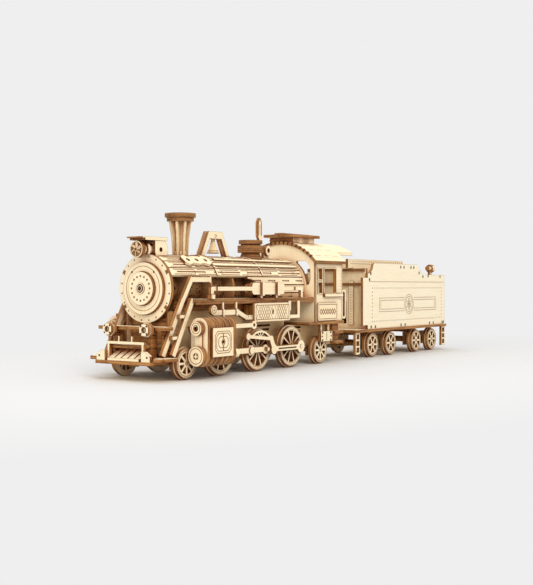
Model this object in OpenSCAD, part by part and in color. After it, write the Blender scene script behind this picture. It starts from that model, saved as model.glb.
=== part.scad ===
// Laser-cut plywood kit of a 2-6-2 steam locomotive and its tender.
// +X runs from the front beam to the tender, -Y is the near side, +Z is up.

/* [Sheet] */
// Thickness of every plywood sheet
ply = 2; // [1.6:0.1:2.4]

/* [Wheels] */
// Tread radius of the driving wheels
driver_r = 13.05; // [10.8:0.05:15.7]
// Tread radius of the pilot, trailing and tender wheels
small_r = 8.6; // [7.1:0.1:10.4]
// How far the flange disc stands out past the tread
flange = 1; // [0.8:0.1:1.4]
// Half of the width over the wheel faces
wheel_y = 26; // [25:0.1:27]
// Radius of every axle
axle_r = 1.5; // [1.2:0.05:1.8]
// Gap all round a turning shaft in its hole
run_gap = 0.06; // [0.02:0.01:0.1]
// Distance between two driving axles
driver_pitch = 37.6; // [32:0.1:40]
// Radius of the circle the crank pins run on
crank_r = 4.5; // [3.6:0.1:5.4]
// Radius of the crank pins
pin_r = 1.2; // [1:0.05:1.5]

/* [Boiler] */
// Outer radius of the boiler planks
boiler_r = 20; // [16.6:0.1:24]
// Height of the boiler's centre line
boiler_z = 52.4; // [50:0.1:58]

/* [Locomotive] */
// Half width of the cab walls
cab_y = 28; // [26:0.5:30]
// Length of the cab
cab_l = 37; // [31:0.5:44]
// Height of the cab eaves
eave_z = 71.2; // [62:0.2:76]
// Rise of the roof arch above the eaves
roof_rise = 13.6; // [11.5:0.1:16.5]
// Half width of the pilot deck
deck_y = 21.5; // [19:0.5:23]
// Height of the chimney above the boiler
chimney_h = 25.3; // [21:0.1:30.5]

/* [Tender] */
// Half width of the tender sides
tender_y = 28; // [25:0.5:30]
// Clearance between the tender's wheels and its floor
tender_gap = 0.4; // [0.3:0.05:1]
// Wheelbase of one bogie
bogie_base = 28.8; // [24:0.1:34]

/* [Hidden] */
// Every round edge is drawn with this many steps
$fn = 36;
// Front of the deck, and the axle positions along X
front_x = -185;
pilot_x = -159.4;
driver_x2 = -90.7;
driver_x1 = driver_x2 - driver_pitch;
driver_x3 = driver_x2 + driver_pitch;
trail_x = -16.3;
bogie_x1 = 72.4;
bogie_x2 = 144.9;
// Axle heights: every wheel stands on its flange
driver_z = driver_r + flange;
small_z = small_r + flange;
// Cab front and back
cab_x0 = -28;
cab_x1 = cab_x0 + cab_l;
cab_z0 = 29.4;
roof_r = (pow(cab_y + 2, 2) + roof_rise * roof_rise) / (2 * roof_rise);
roof_cz = eave_z + roof_rise - roof_r;
// Height at which the side walls meet the underside of the roof
side_top = roof_cz + sqrt(pow(roof_r - ply, 2) - cab_y * cab_y);
// Frame plates
frame_y = 17;
// Pierced tube inside the boiler
core_r = boiler_r * 0.55;
// Lower and upper edge of the frame plates
frame_z0 = small_z + 2.4;
frame_z1 = boiler_z - core_r - ply;
// Running boards
board_z = boiler_z - 8.2;
board_y = boiler_r + 7.2;
// Boiler length
smoke_x = -166.2;
boiler_x0 = smoke_x + ply;
boiler_x1 = cab_x0;
top_z = boiler_z + boiler_r;
// Centre of the headlight
head_z = top_z + 2.6;
// Radius that clears the corners of the planks
plank_w = 2 * (boiler_r - ply) * tan(7.4);
skin_r = norm([boiler_r, plank_w / 2]) + 0.01;
// Cylinder blocks
cyl_x0 = -156.8;
cyl_x1 = -130.4;
cyl_r = 6.2;
cyl_y = wheel_y + 0.6 + cyl_r;
cyl_za = driver_z - 0.2;
cyl_zb = cyl_za + 15.7;
// Rod planes, counted outward from the wheel face
rod_y0 = wheel_y + 0.8;
rod_y1 = rod_y0 + ply;
rod_y2 = rod_y1 + 0.1;
rod_y3 = rod_y2 + ply;
pin_x2 = driver_x2 + crank_r;
pin_x3 = driver_x3 + crank_r;
// Crosshead of the piston rod at the end of its stroke
cross_x = cyl_x1 + 8.8;
// Lowest point of the boxes: clear of the half-moon link at the top of its circle
link_h = 12.4;
box_z0 = driver_z + link_h + crank_r + 0.5;
// Tender
tender_z = 2 * small_z + tender_gap + ply;
// Underside of the stretcher that holds the drawbar pin
hitch_z = tender_z - ply - 2.6;
tend_x0 = 45.8;
tend_x1 = 177;
porch_x = 27;
hitch_r = 1.6;
drawbar_x = 23;

// A sheet whose outline is drawn across (Y) and up (Z), from x0 backwards
module sheet_x(x0, t = ply) {
    translate([x0, 0, 0]) rotate([90, 0, 90]) linear_extrude(t) children();
}
// A sheet whose outline is drawn along (X) and up (Z); y0 is its -Y face
module sheet_y(y0, t = ply) {
    translate([0, y0 + t, 0]) rotate([90, 0, 0]) linear_extrude(t) children();
}
// A sheet lying flat, outline along (X) and across (Y)
module sheet_z(z0, t = ply) {
    translate([0, 0, z0]) linear_extrude(t) children();
}
// Draws its children on both sides of the centre plane
module both() {
    children();
    mirror([0, 1, 0]) children();
}
// Draws a flat outline and its mirror image left to right
module both_flat() {
    children();
    mirror([1, 0]) children();
}
// A rectangle from two corners
module rect(x0, y0, x1, y1) {
    translate([x0, y0]) square([x1 - x0, y1 - y0]);
}
// A rectangle with round corners, from two corners
module rrect(x0, y0, x1, y1, r) {
    rect(x0 + r, y0, x1 - r, y1);
    rect(x0, y0 + r, x1, y1 - r);
    for (x = [x0 + r, x1 - r]) for (y = [y0 + r, y1 - r]) translate([x, y]) circle(r);
}
// A bar between two points with square ends
module bar(x0, y0, x1, y1, w) {
    a = atan2(y1 - y0, x1 - x0);
    translate([x0, y0]) rotate(a) translate([0, -w / 2]) square([norm([x1 - x0, y1 - y0]), w]);
}
// Its children, cut to sit on the boiler
module on_boiler() {
    difference() {
        children();
        rod_x(-172, cab_x0 + 1, 0, boiler_z, skin_r);
    }
}
// A round rod along Y
module rod_y(x, y0, y1, z, r) {
    translate([x, y1, z]) rotate([90, 0, 0]) cylinder(h = y1 - y0, r = r);
}
// A round rod along X
module rod_x(x0, x1, y, z, r) {
    translate([x0, y, z]) rotate([0, 90, 0]) cylinder(h = x1 - x0, r = r);
}

// ---------------------------------------------------------------- front end
deck_z = small_z - 0.2;
module pilot_deck() {
    color("burlywood") sheet_z(deck_z) difference() {
        rect(front_x, -deck_y, pilot_x - axle_r - 1.6, deck_y);
        both() translate([pilot_x - small_r - flange - 0.8, wheel_y - 5.2]) square([30, 10]);
    }
}
slat_w = 4.1;
slat_pitch = 5.1;
module cowcatcher() {
    color("wheat") {
        // Corner gussets
        both() sheet_x(front_x) difference() {
            polygon([[14, deck_z + ply], [20.6, deck_z + ply], [20.6, deck_z + 5.4],
                [17, deck_z + 7.8], [14, deck_z + 7.8]]);
            translate([18.4, deck_z + 4.6]) circle(0.6);
        }
        // Sloping slats between the gussets
        for (i = [-2:2]) translate([front_x + 0.8, i * slat_pitch - slat_w / 2, deck_z + ply + 1.3])
            rotate([0, 62, 0]) cube([1.4, slat_w, 11.6]);
        // Foot rail that the slats stand on
        translate([front_x + 0.2, -12.1, deck_z + ply]) cube([4.4, 24.2, 1.6]);
    }
}
module front_handrail() {
    color("wheat") sheet_x(front_x + 2.2) {
        rect(-14.4, deck_z + 11.4, 14.4, deck_z + 13);
        for (y = [-14, 12.4]) rect(y, deck_z + ply, y + 1.6, deck_z + 12);
        for (y = [-5.5, 4.5]) rect(y, deck_z + 11.6, y + 1, deck_z + 16);
    }
}
module footplate_wings() {
    color("burlywood") both() sheet_z(deck_z + ply) difference() {
        union() {
            rect(front_x + 6, 17, pilot_x - axle_r - 1.7, 25.6);
            rect(front_x + 4, 22, -172, 29);
            translate([-172, 25.6]) circle(3.4);
            translate([front_x + 6, 27]) circle(2);
            rect(front_x + 1.4, 21.6, front_x + 7, 27);
        }
        rect(pilot_x - small_r - flange - 0.8, wheel_y - 5.2, 0, 40);
    }
}
module buffer_beams() {
    color("peru") {
        sheet_z(boiler_z - 23.6) rect(-178, -26, -171.4, 26);
        sheet_z(deck_z + 9) rect(-180.6, -14, -174, 14);
        both() sheet_z(deck_z + 9) rect(-172.6, 13.9, -166, 20);
        // Upright plates that carry both beams
        both() sheet_y(2 * slat_pitch + slat_w / 2 + 0.05, ply)
            rect(-177.6, deck_z + ply, -171.8, boiler_z - 23.6);
        both() sheet_y(18, ply) rect(-172.4, deck_z + 2 * ply, -167, boiler_z - 23.6);
    }
}
module marker_lamps() {
    color("tan") both() translate([-183, 14.2, boiler_z - 23.2]) rotate([0, 90, 0]) {
        difference() {
            union() {
                rotate(22.5) cylinder(h = ply, r = 3.6, $fn = 8);
                translate([0, 0, ply]) rotate(22.5) cylinder(h = ply, r = 4.4, $fn = 8);
                translate([0, 0, 2 * ply]) cylinder(h = 1, r = 3.2);
            }
            translate([0, 0, -1]) cylinder(h = ply, r = 1.2);
        }
    }
}
// Foot of the outer brace, just ahead of the pilot wheel
brace_x = pilot_x - small_r - flange - 1.5;
module front_braces() {
    color("wheat") both() difference() {
        union() {
            // Outer pair runs from the running board down to the wing
            sheet_y(-25.4, ply) bar(brace_x, deck_z + 2 * ply + 0.9, -153.2, board_z + 2, 3.2);
            sheet_y(-22.6, ply) bar(brace_x - 5.5, deck_z + 2 * ply + 0.9, -158.6, board_z + 2, 3.2);
            // Cranked pipe above the inner brace
            sheet_y(-22.6, ply) {
                bar(-159.6, board_z, -150.4, boiler_z + 6.4, 3);
                bar(-151.8, boiler_z + 5.2, -133, boiler_z + 5.2, 3);
                rect(-134.6, boiler_z + 3.2, -133, boiler_z + 7.2);
            }
            // Cleats that join the two braces and the pipe to the boiler
            for (f = [0.25, 0.75]) translate([-174.2 + 12.8 * f, -25, deck_z + 8 + 24 * f])
                cube([6.6, 4, 2]);
            translate([-146, -21, boiler_z + 4]) cube([2, 4, 2]);
        }
        translate([-153.42, -60, board_z - 0.01]) cube([200, 120, ply + 0.02]);
        translate([-200, -60, deck_z + 2 * ply - 20]) cube([60, 120, 20]);
        rod_x(-152, -20, 0, boiler_z, boiler_r - 1.99);
    }
}

// ---------------------------------------------------------------- smokebox
module smokebox_ring() {
    color("wheat") sheet_x(smoke_x) difference() {
        translate([0, boiler_z]) circle(boiler_r + 0.1, $fn = 72);
        for (i = [0:19]) translate([0, boiler_z]) rotate(i * 18 + 9) translate([boiler_r - 1.4, 0])
            circle(0.45, $fn = 6);
    }
}
module smokebox_door() {
    color("wheat") {
        sheet_x(smoke_x - ply) translate([0, boiler_z]) circle(boiler_r * 0.76, $fn = 60);
        sheet_x(smoke_x - 2 * ply) translate([0, boiler_z]) difference() {
            circle(boiler_r * 0.48, $fn = 48);
            for (i = [0:15]) rotate(i * 22.5) translate([boiler_r * 0.355, 0]) circle(0.6, $fn = 6);
        }
        rod_x(smoke_x - 2 * ply - 0.5, smoke_x - 2 * ply, 0, boiler_z, 1.9);
    }
}
// Middle of the headlight's cheeks, and their outer faces
lamp_x = -159;
lamp_y = 5.8;
module headlight_body() {
    color("tan") on_boiler() {
        rod_x(-171, -157, 0, head_z, 3.6);
        rod_x(-168.6, -166.6, 0, head_z, 4.9);
        // Cheeks, top board and its sloping front lip
        both() sheet_y(lamp_y - ply, ply) difference() {
            union() {
                rect(lamp_x - 5, top_z + 0.4, lamp_x + 4, head_z + 5.2);
                translate([lamp_x + 1.2, head_z]) circle(5.2);
            }
            translate([lamp_x, head_z]) circle(1.3);
        }
        translate([-172.6, -lamp_y - 0.3, head_z + 5.2]) cube([19, 2 * lamp_y + 0.6, ply]);
        translate([-175, -lamp_y - 0.3, head_z + 6.4]) cube([3, 2 * lamp_y + 0.6, 0.8]);
        // Saddle on the boiler
        translate([lamp_x - 4.6, -lamp_y, top_z - 2.4]) cube([8.4, 2 * lamp_y, 3]);
    }
}
module headlight_lens() {
    color("saddlebrown") difference() {
        rod_x(-173.4, -171, 0, head_z, 4.9);
        for (i = [0:5]) translate([-173.6, 0, head_z]) rotate([i * 60, 0, 0]) rotate([0, 90, 0])
            linear_extrude(1) polygon([[0.9, 0], [3.9, 0], [3.2, 2.1]]);
    }
}

// ---------------------------------------------------------------- boiler top
module chimney_column() {
    color("burlywood") on_boiler() translate([-134.9, 0, top_z - 1.6]) {
        // Eight flared fins around a core
        for (i = [0:7]) rotate(i * 45 + 22.5) rotate([90, 0, 0]) translate([0, 0, -0.9]) linear_extrude(1.8)
            polygon([[0, 0], [4.9, 0], [4.9, 3], [5.4, chimney_h * 0.5],
                [6.9, chimney_h - 3.2], [0, chimney_h - 3.2]]);
        cylinder(h = chimney_h - 3.2, r = 4.3, $fn = 36);
    }
}
module chimney_cap() {
    color("peru") translate([-134.9, 0, top_z + chimney_h - 4.8]) difference() {
        union() {
            cylinder(h = 2.4, r = 8.2, $fn = 48);
            translate([0, 0, 2.4]) cylinder(h = 2.4, r = 9.4, $fn = 48);
        }
        translate([0, 0, 1.2]) cylinder(h = 4, r = 5.2);
    }
}
bell_x = -103.2;
bell_piv = top_z + 13;
// Half the gap between the two frame sheets
bell_gap = 0.8;
module bell_frame() {
    color("wheat") on_boiler() {
        both() sheet_y(bell_gap, 1.4) {
            bar(bell_x - 13.4, top_z - 1, bell_x - 5.6, bell_piv + 2, 2.8);
            bar(bell_x + 13.4, top_z - 1, bell_x + 5.6, bell_piv + 2, 2.8);
            difference() {
                rect(bell_x - 6.6, bell_piv - 1.8, bell_x + 6.6, bell_piv + 2.8);
                translate([bell_x, bell_piv]) circle(0.9 + run_gap);
            }
        }
        // Foot boards on the boiler
        for (s = [-1, 1]) translate([bell_x + s * 14 - 3, -2.8, top_z - 1.4]) cube([6, 5.6, 1.8]);
    }
}
module bell() {
    color("burlywood") {
        rod_y(bell_x, -bell_gap - 1.3, bell_gap + 1.3, bell_piv, 0.9);
        translate([bell_x - 1.5, 0.3 - bell_gap, bell_piv - 4]) cube([3, 2 * bell_gap - 0.6, 5.3]);
        translate([bell_x, 0, bell_piv - 11]) rotate_extrude($fn = 36)
            polygon([[0, 0], [4, 0], [3.4, 1.4], [2.4, 3.6], [1.8, 6.6], [1.2, 7.6], [0, 8]]);
    }
}
dome_x = -63;
module steam_dome() {
    color("peru") on_boiler() translate([dome_x, 0, 0]) {
        translate([0, 0, top_z - 1.8]) cylinder(h = 5.4, r1 = 8, r2 = 6);
        translate([0, 0, top_z + 3.6]) cylinder(h = 4.6, r = 8.7, $fn = 48);
        translate([0, 0, top_z + 8.2]) cylinder(h = 1.2, r = 6.6);
        translate([0, 0, top_z + 9.4]) cylinder(h = 2.4, r = 7.9, $fn = 48);
    }
}
module whistle() {
    color("burlywood") {
        sheet_y(-1, ply) polygon([[-55.8, top_z + 15], [-55.8, top_z + 24], [-54.9, top_z + 26.2],
            [-53.7, top_z + 27.4], [-52.5, top_z + 26.2], [-51.6, top_z + 24], [-51.6, top_z + 15],
            [-52.1, top_z + 12], [-52.1, top_z + 5.4], [-54.1, top_z + 5.4], [-54.1, top_z + 12]]);
        // Elbow that carries it off the dome, and the ring below
        sheet_y(-1, ply) rect(-54.1, top_z + 5, -46, top_z + 7);
        sheet_y(-3, ply) difference() {
            translate([-46.4, top_z + 5.4]) circle(3.4);
            translate([-46.4, top_z + 5.4]) circle(1.5);
        }
        sheet_y(-1, ply) rect(-49.4, top_z, -43.6, top_z + 6);
    }
}

// ---------------------------------------------------------------- boiler
former_x = [-150, -128, -106, -84, -62, -40];
module boiler_formers() {
    color("saddlebrown") for (x = former_x) sheet_x(x) difference() {
        translate([0, boiler_z]) circle(boiler_r - ply - 0.02, $fn = 60);
        translate([0, boiler_z]) circle(core_r);
        rect(-30, 0, 30, frame_z1);
        // Notches over the ledges that carry the running boards
        both_flat() rect(frame_y - 0.72, frame_z1 - 1, 40, board_z);
    }
}
module boiler_core() {
    color("saddlebrown") difference() {
        rod_x(boiler_x0, boiler_x1, 0, boiler_z, core_r);
        rod_x(boiler_x0 + 4, boiler_x1 - 4, 0, boiler_z, core_r - ply);
        for (i = [0:8]) for (a = [-40:40:40]) translate([-154 + i * 14, 0, boiler_z]) rotate([90 + a, 0, 0])
            cylinder(h = 60, r = 1.6, center = true, $fn = 16);
    }
}
// Planks: an angle each side of the top, widest near the cab
module plank(a, x0, x1) {
    translate([0, 0, boiler_z]) rotate([a, 0, 0]) translate([x0, -plank_w / 2, boiler_r - ply])
        difference() {
            cube([x1 - x0, plank_w, ply]);
            for (i = [0:3]) translate([6 + i * (x1 - x0) / 4, plank_w / 2 - 0.4, ply - 0.6])
                cube([(x1 - x0) / 4 - 8, 0.8, 1]);
        }
}
module boiler_planks() {
    color("wheat") {
        for (i = [-4:4]) plank(i * 15.2, boiler_x0, boiler_x1);
        difference() {
            for (s = [-1, 1]) {
                plank(s * 76, -92, boiler_x1);
                plank(s * 91.2, -84, boiler_x1);
                plank(s * 106.4, -76, boiler_x1);
            }
            // The lowest planks sweep down in a curve
            rod_y(-91, -60, 60, boiler_z - 8, 14);
            translate([-100, -60, board_z - 20]) cube([100, 120, 20 + ply]);
        }
    }
}
module boiler_trim() {
    color("tan") {
        // Long raised strips
        for (a = [-45.6, -30.4, 30.4, 45.6]) translate([0, 0, boiler_z]) rotate([a, 0, 0])
            translate([abs(a) > 40 ? -122 : -116, -0.9, boiler_r]) cube([abs(a) > 40 ? 92 : 86, 1.8, 1]);
        // Pierced plaques near the front
        for (s = [-1, 1]) translate([0, 0, boiler_z]) rotate([s * 38, 0, 0]) translate([-148, -4.6, skin_r])
            linear_extrude(1.5) difference() {
                polygon([[0, 2], [3, 0], [7, 1.6], [12, 0.6], [17, 1.6], [21, 0], [25, 2.6], [25, 6.6],
                    [21, 9.2], [17, 7.6], [12, 8.6], [7, 7.6], [3, 9.2], [0, 7.2]]);
                for (x = [4.4, 12.4, 20.6]) translate([x, 4.6]) circle(1.4);
            }
        // Bands
        for (x = [-122.6, -76]) for (i = [-4:4]) translate([0, 0, boiler_z]) rotate([i * 15.2, 0, 0])
            translate([x, -plank_w / 2, boiler_r]) cube([1.4, plank_w, 0.6]);
    }
}

// ---------------------------------------------------------------- frame and boards
module running_boards() {
    color("peru") both() sheet_z(board_z) difference() {
        rect(-153.4, -board_y, cab_x0, -core_r);
        for (x = former_x) rect(x - 0.02, -25, x + ply + 0.02, -10);
    }
}
module frame_sides() {
    color("burlywood") both() sheet_y(frame_y - ply, ply) difference() {
        union() {
            rect(boiler_x0, frame_z0, -48.5, frame_z1);
            rect(-60, frame_z0, 12, cab_z0 - ply);
            rect(-166, deck_z + ply, -150, 30);
            for (x = [driver_x1, driver_x2, driver_x3]) rect(x - 5, driver_z - 6, x + 5, driver_z + 2);
            for (x = [pilot_x, trail_x]) rect(x - 3, small_z - 4, x + 4.4, small_z + 6);
        }
        for (x = [driver_x1, driver_x2, driver_x3]) translate([x, driver_z]) circle(axle_r + run_gap);
        for (x = [pilot_x, trail_x]) translate([x, small_z]) circle(axle_r + run_gap);
        // Three-slot springs between the axles
        for (x = [driver_x1 + driver_pitch / 2, driver_x2 + driver_pitch / 2, driver_x3 + driver_pitch / 2])
            for (i = [0:2]) rect(x - 7 + i, 27.6 - i * 2.6, x + 7 - i, 28.8 - i * 2.6);
    }
}
module frame_spacers() {
    color("saddlebrown") {
        for (x = [-162, -110, -72]) sheet_x(x) rect(ply - frame_y, 20, frame_y - ply, frame_z1);
        for (x = [-38, 8]) sheet_x(x) rect(ply - frame_y, 16, frame_y - ply, cab_z0 - ply);
        sheet_z(frame_z1, board_z - frame_z1) both() rect(-160, frame_y - 0.7, -49, frame_y + 2);
        // Brackets between the frame and the cylinder blocks, lattice boxes and pipes
        both() for (x = [cyl_x0 + 8.8, cyl_x0 + 13.2]) translate([x, frame_y, cyl_zb - 1.4])
            cube([ply, cyl_y - cyl_r - frame_y, 2]);
        // Stretcher with the bore for the drawbar pin
        difference() {
            translate([10, ply - frame_y, hitch_z]) cube([16.4, 2 * (frame_y - ply), ply]);
            translate([drawbar_x, 0, hitch_z - 5]) cylinder(h = 20, r = pin_r + run_gap);
        }
    }
}

// ---------------------------------------------------------------- pipes and boxes
// Middle of the lower pipe, over the cylinders
pipe_z = max(board_z - 6.2, cyl_zb + cyl_r + 1.9);
module upper_pipes() {
    color("wheat") both() {
        // Flat cut pipe with an upright end, standing on the board
        sheet_y(-board_y - 1, ply) {
            bar(-139.6, board_z + ply + 6, -44, board_z + ply + 6, 2.6);
            rect(-140.4, board_z + ply, -137.6, board_z + ply + 7);
            rrect(-99.6, board_z + ply + 2.2, -64, board_z + ply + 9.8, 2.4);
            rect(-44.8, board_z + ply, -42.4, board_z + ply + 7);
        }
        // Barrel foot and the straps of the reservoir
        translate([-139, -board_y, board_z + ply]) cylinder(h = 2.6, r = 2.4);
        for (x = [-91, -74.4]) translate([x, -board_y - 1.4, board_z + ply]) cube([2, 3.2, 10.2]);
        // Reservoir body behind the cut plate
        rod_x(-98, -66, -board_y + 3.8, board_z + ply + 6, 3);
    }
}
module lower_pipes() {
    color("wheat") both() sheet_y(-board_y - 1, ply) {
        translate([-137.4, min(pipe_z + 1.6, board_z - 3.1)]) circle(3);
        rect(-137.4, pipe_z - 1.6, -113, pipe_z + 1.6);
        bar(-114, pipe_z, -105.4, box_z0 + 3, 2.8);
        rect(-106.6, box_z0 + 1.6, -99, box_z0 + 4.4);
        for (x = [-129.6, -116.6]) rect(x, pipe_z - 2, x + 1.6, board_z);
        // L-shaped pipe behind the box
        rect(-59.6, box_z0 + 1.2, -46, box_z0 + 3.6);
        rect(-49, box_z0 + 1.2, -46, board_z);
        rect(-59.6, board_z - 6.6, -56.4, board_z);
    }
}
module lattice_boxes() {
    color("wheat") both() {
        sheet_y(-board_y - 2.4, ply) difference() {
            rrect(-99, box_z0, -59.6, board_z - 1, 1.4);
            translate([-79, (box_z0 + board_z) / 2]) circle(0.9);
        }
        translate([-97, -board_y - 0.4, box_z0 + 1]) cube([35.4, 8, board_z - box_z0 - 3]);
        for (x = [-92, -68]) translate([x, -board_y - 0.4, board_z - 2]) cube([3, 5, 2]);
    }
}

// ---------------------------------------------------------------- cylinders and motion
// Outline of one rib: two lobes, flat towards the wheels
module rib(r) {
    rrect(-cyl_y - r, cyl_za - r, -cyl_y + r, cyl_zb + r, r * 0.9);
}
module cylinder_blocks() {
    color("peru") both() difference() {
        union() {
            for (i = [0:5]) translate([cyl_x0 + i * 2 * ply * 1.1, 0, 0]) sheet_x(0, ply) rib(cyl_r);
            sheet_x(cyl_x0, cyl_x1 - cyl_x0) rib(cyl_r - 0.7);
            sheet_x(cyl_x1 - ply, ply) rib(cyl_r);
        }
        rod_x(cyl_x0 + 2, cyl_x1 + 1, -cyl_y, cyl_za, axle_r + run_gap);
        // Mouth that the crosshead runs into
        rod_x(cross_x - 4.2 - 2 * crank_r, cyl_x1 + 1, -cyl_y, cyl_za, 3.2);
    }
}
module cylinder_covers() {
    color("wheat") both() {
        sheet_x(cyl_x0 - 1, 1) {
            translate([-cyl_y, cyl_za]) circle(cyl_r - 0.2);
            translate([-cyl_y, cyl_zb]) circle(cyl_r - 1.8);
            rect(-cyl_y - 2.8, cyl_za, -cyl_y + 2.8, cyl_zb);
        }
        sheet_x(cyl_x0 - 3.2, 2.2) difference() {
            translate([-cyl_y, cyl_za]) circle(cyl_r - 0.5);
            for (a = [45:90:315]) translate([-cyl_y, cyl_za]) rotate(a) translate([1.4, 0])
                circle(0.6, $fn = 6);
        }
        sheet_x(cyl_x0 - 3.2, 2.2) difference() {
            translate([-cyl_y, cyl_zb]) circle(4.1);
            translate([-cyl_y, cyl_zb]) circle(1.4);
        }
    }
}
module cylinder_panels() {
    color("wheat") both() sheet_y(-cyl_y - cyl_r - 1.2, 1.2) difference() {
        rect(-153.6, cyl_za - 0.6, -134.4, cyl_zb + 0.4);
        translate([-144, (cyl_za + cyl_zb) / 2]) circle(1);
    }
}
module valve_rods() {
    color("wheat") both() sheet_y(-cyl_y - 0.6, ply) difference() {
        union() {
            rect(cyl_x1, cyl_zb - 1, -106.8, cyl_zb + 1.7);
            translate([-104.6, cyl_zb + 0.4]) circle(2.6);
        }
        translate([-104.6, cyl_zb + 0.4]) circle(1);
    }
}
module piston_rod() {
    color("wheat") {
        rod_x(cyl_x0 + 3 + 2 * crank_r, cross_x, -cyl_y, cyl_za, axle_r);
        rod_x(cross_x - 3.6, cross_x, -cyl_y, cyl_za, 2.6);
    }
}
module piston_rod_right() {
    piston_rod();
}
module piston_rod_left() {
    mirror([0, 1, 0]) piston_rod();
}
// Half-moon link: its middle and outer radius
link_x = -94.4;
link_r = 15.5;
// Main rod, side rod, return link and half-moon link of one side
module side_rod() {
    color("wheat") {
        // Main rod, next to the wheel
        sheet_y(-rod_y1, ply) difference() {
            union() {
                rect(-120.5, driver_z - 1.7, pin_x2 + 3, driver_z + 1.7);
                translate([-101.4, driver_z]) circle(3.6, $fn = 6);
                translate([pin_x2, driver_z]) circle(3);
                rect(pin_x2, driver_z - 1.4, pin_x3, driver_z + 1.4);
                translate([pin_x3, driver_z]) circle(3);
            }
            translate([pin_x2, driver_z]) circle(pin_r + run_gap);
            translate([pin_x3, driver_z]) circle(pin_r + run_gap);
        }
        // Hexagon boss on the main rod
        sheet_y(-rod_y1 - 0.8, 0.8) translate([-101.4, driver_z]) circle(2.6, $fn = 6);
        // Slotted side rod, return link and half-moon link outside it
        sheet_y(-rod_y3, rod_y3 - rod_y1) difference() {
            union() {
                translate([-79.4, driver_z - 0.4]) circle(3.2);
                rect(-79.4, driver_z - 1.9, pin_x3, driver_z + 1.4);
                translate([pin_x3, driver_z]) circle(4.2);
                bar(-82.6, driver_z + 6.4, -79.4, driver_z - 0.4, 4);
                translate([-82.6, driver_z + 6.4]) circle(2.1);
                bar(-106.8, driver_z + 8.8, -82.6, driver_z + 6.4, 2.2);
                translate([-107, driver_z + 8.8]) circle(2.2);
                // Half-moon link: a shallow arch on the bar, with spokes
                difference() {
                    translate([link_x, driver_z - 3.3]) circle(link_r);
                    translate([link_x, driver_z - 3.3]) circle(link_r - 1.4);
                    translate([link_x, driver_z + 7.6]) rotate(-5.6) translate([-30, -40]) square([60, 40]);
                }
                for (a = [-45, 0, 45]) translate([link_x, driver_z + 7.6]) rotate(a)
                    translate([-0.4, 0]) square([0.8, a == 0 ? 4 : 4.4]);
            }
            rect(-74.6, driver_z - 0.6, pin_x3 - 5.6, driver_z + 0.1);
            translate([pin_x3, driver_z]) circle(pin_r + run_gap);
        }
    }
}
module side_rod_right() {
    side_rod();
}
module side_rod_left() {
    mirror([0, 1, 0]) side_rod();
}

// ---------------------------------------------------------------- wheels
// Outline of a spoked disc
module spoked(r, rim, hub, n, w) {
    difference() {
        circle(r);
        difference() {
            circle(r - rim);
            circle(hub);
            for (i = [0:n - 1]) rotate(i * 360 / n) translate([0, -w / 2]) square([r, w]);
        }
    }
}
// Two wheels on one axle, standing at x; rim is its share of the radius, spoke its width
module wheelset(x, r, n, face_y, crank = 0, rim = 0.29, spoke = 1.5) {
    z = r + flange;
    color("burlywood") {
        both() {
            sheet_y(-face_y, ply) translate([x, z]) spoked(r, r * rim, r * rim, n, spoke);
            sheet_y(ply - face_y, ply) translate([x, z])
                spoked(r + flange, r * rim + flange, r * max(rim, 0.3), n, spoke);
            rod_y(x, 2 * ply - face_y, -frame_y - 0.5, z, axle_r + 1.3);
            if (crank > 0) {
                // Crank plate on the wheel face and its pin
                sheet_y(-face_y - 0.5, 0.5 + ply / 2) translate([x, z]) {
                    bar(0, 0, crank, 0, 4.4);
                    translate([crank, 0]) circle(2.6);
                }
                rod_y(x + crank, -rod_y3 - 0.3, -face_y, z, pin_r);
            }
        }
        rod_y(x, -face_y + 1, face_y - 1, z, axle_r);
    }
}
module pilot_wheelset() {
    wheelset(pilot_x, small_r, 8, wheel_y - 0.4);
}
module driver_wheelset_1() {
    wheelset(driver_x1, driver_r, 10, wheel_y, 0, 0.2, 1.1);
}
module driver_wheelset_2() {
    wheelset(driver_x2, driver_r, 10, wheel_y, crank_r, 0.2, 1.1);
}
module driver_wheelset_3() {
    wheelset(driver_x3, driver_r, 10, wheel_y, crank_r, 0.2, 1.1);
}
module trailing_wheelset() {
    wheelset(trail_x, small_r, 8, wheel_y - 0.4);
}

// ---------------------------------------------------------------- cab
module arch(y, r_in, r_out, cz) {
    intersection() {
        difference() {
            translate([0, cz]) circle(r_out, $fn = 120);
            translate([0, cz]) circle(r_in, $fn = 120);
        }
        rect(-y, eave_z - 2, y, 200);
    }
}
module cab_front_wall() {
    color("burlywood") sheet_x(cab_x0) difference() {
        union() {
            rect(-cab_y, cab_z0, cab_y, eave_z - 2.4);
            intersection() {
                translate([0, roof_cz]) circle(roof_r - ply, $fn = 120);
                rect(-cab_y, eave_z - 3, cab_y, 200);
            }
        }
        // Windows that follow the boiler's round
        difference() {
            for (s = [-1, 1]) polygon([[s * 13.6, boiler_z + 18.6], [s * 21.4, boiler_z + 18.6],
                [s * 24.6, boiler_z + 15], [s * 25, boiler_z + 6], [s * 23.4, boiler_z + 2.4],
                [s * 10, boiler_z + 2.4]]);
            translate([0, boiler_z]) circle(boiler_r + 1.8, $fn = 72);
        }
        rect(-8, boiler_z - 14, 8, boiler_z - 2);
    }
}
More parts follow.
